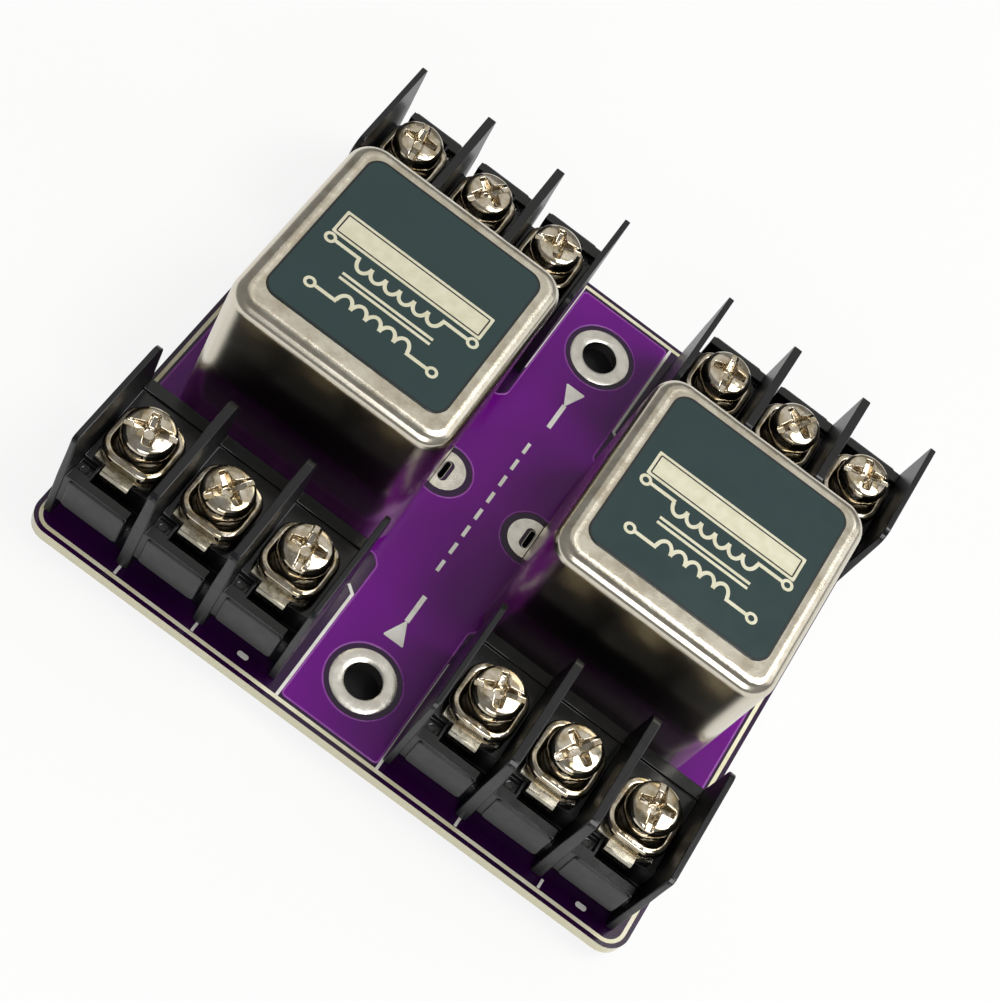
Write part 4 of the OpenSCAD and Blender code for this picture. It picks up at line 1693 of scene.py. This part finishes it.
    def add_screw(self, screws: Skin, turn: float) -> None:
        """Heads one pan screw, with a cross-and-slot recess turned to its own angle.

        Args:
            screws: Collects the screws, at the pole's place.
            turn: Angle of the slot.
        """
        base = self.seat + self.contact + self.clamp_floor + self.lock
        radius, height, flat, dome = self.head / 2, self.head_height, self.head_flat, self.head_dome
        profile = [(flat * i / 28, height - dome * (i / 28) ** 2) for i in range(1, 29)]
        slope = math.radians(self.head_slope)
        for step in range(1, 8):
            angle = math.radians(self.head_slope + (90 - self.head_slope) * step / 7)
            drop = self.head_shoulder * (math.cos(slope) - math.cos(angle))
            reach = (math.sin(angle) - math.sin(slope)) / (1 - math.sin(slope))
            profile.append((flat + (radius - flat) * reach, height - dome - drop))
        shoulder = profile[-1][1]
        profile += [(radius, shoulder * 0.5), (radius, 0.16), (radius - 0.05, 0.05), (radius - 0.16, 0.0)]
        profile.append((self.shank + 0.1, 0.0))
        steps = 160
        loops: list[list[Point3]] = []
        for reach, z in profile:
            loop = []
            for step in range(steps):
                angle = 2 * math.pi * step / steps
                x, y = reach * math.cos(angle - turn), reach * math.sin(angle - turn)
                floor = height - self.recess(x, y) - self.head_droop * (reach / radius) ** 2
                sunk = min(z, floor) if z > shoulder * 0.4 else z
                loop.append((reach * math.cos(angle), reach * math.sin(angle), base + sunk))
            loops.append(loop)
        screws.loft(loops)
        shank, pitch, tip = self.shank, self.thread_pitch, self.tip
        thread = []
        z = 0.0
        while z > -self.screw_length - self.clamp_floor - self.lock + pitch:
            thread += [(shank, z), (shank - self.thread_depth, z - pitch / 2)]
            z -= pitch
        thread += [(shank - tip, z), (shank - 2 * tip, z - tip)]
        screws.lathe([(r, base + z) for r, z in thread], 32)


@dataclass(frozen=True)
class PhotoCamera:
    """The photograph's viewpoint, fitted to the board's corners, holes, screws and cans."""

    place: Point3 = (-3.583, -131.553, 200.425)
    right: Point3 = (0.8015, 0.4888, 0.3444)
    down: Point3 = (0.5977, -0.6712, -0.4383)
    forward: Point3 = (0.0169, 0.5572, -0.8302)
    focal_px: float = 2194.34
    image_px: float = 1001.0
    sensor: float = 36.0
    clip_start_m: float = 0.005

    def build(self) -> None:
        """Adds the camera and makes it the scene's own."""
        lens = bpy.data.cameras.new("photo_camera")
        lens.sensor_width = self.sensor
        lens.lens = self.focal_px / self.image_px * self.sensor
        lens.clip_start = self.clip_start_m
        camera = bpy.data.objects.new("photo_camera", lens)
        bpy.context.scene.collection.objects.link(camera)
        axes = Matrix((self.right, [-c for c in self.down], [-c for c in self.forward]))
        camera.matrix_world = Matrix.Translation(Vector(self.place) * MM) @ axes.transposed().to_4x4()
        bpy.context.scene.camera = camera
        LOG.info("camera: %.1f mm lens", lens.lens)


@dataclass(frozen=True)
class Softbox:
    """One square studio lamp that looks at the middle of the board."""

    name: str
    place_m: Point3
    size_m: float
    watts: float
    colour: str = "#ffffff"

    def build(self) -> None:
        """Hangs the lamp."""
        lamp = bpy.data.lights.new(self.name, "AREA")
        lamp.shape = "SQUARE"
        lamp.size = self.size_m
        lamp.energy = self.watts
        lamp.color = linear(self.colour)[:3]
        hung = bpy.data.objects.new(self.name, lamp)
        bpy.context.scene.collection.objects.link(hung)
        hung.location = self.place_m
        hung.rotation_euler = (-Vector(self.place_m)).to_track_quat("-Z", "Y").to_euler()
        LOG.info("%s: %.2f W", self.name, self.watts)


@dataclass(frozen=True)
class Studio:
    """Paper sweep, sky and lamps."""

    floor_m: float = -0.0018
    reach_m: float = 3.0
    sky: str = "#ffffff"
    sky_strength: float = 0.26
    lamps: tuple[Softbox, ...] = (
        Softbox("back_softbox", (0.0, 0.42, 0.62), 0.7, 0.74, "#fffcf4"),
        Softbox("key_softbox", (0.361, 0.163, 0.763), 0.46, 4.2),
        Softbox("front_softbox", (0.19, -0.585, 0.43), 0.36, 1.9),
        Softbox("side_softbox", (0.6, 0.36, 0.38), 0.42, 0.65),
    )

    def build(self) -> None:
        """Lays the floor and lights the object."""
        reach = self.reach_m
        corners = ((-reach, -reach), (reach, -reach), (reach, reach), (-reach, reach))
        floor = bpy.data.meshes.new("paper_sweep")
        floor.from_pydata(raised(corners, self.floor_m), [], [(0, 1, 2, 3)])
        floor.materials.append(SWEEP.material())
        paper = bpy.data.objects.new("paper_sweep", floor)
        bpy.context.scene.collection.objects.link(paper)
        world = bpy.data.worlds.new("studio_sky")
        world.use_nodes = True
        backdrop = world.node_tree.nodes["Background"]
        backdrop.inputs["Color"].default_value = linear(self.sky)
        backdrop.inputs["Strength"].default_value = self.sky_strength
        bpy.context.scene.world = world
        for lamp in self.lamps:
            lamp.build()


def main() -> None:
    """Builds the camera, the board, both transformers, all four blocks and the studio."""
    logging.basicConfig(level=logging.INFO, format="%(name)s: %(message)s")
    bpy.context.scene.view_settings.view_transform = "Standard"
    PhotoCamera().build()
    CircuitBoard().build()
    for side in Side:
        Transformer(side).build()
    for row in Row:
        for side in Side:
            TerminalBlock(row, side).build()
    Studio().build()


if __name__ == "__main__":
    main()
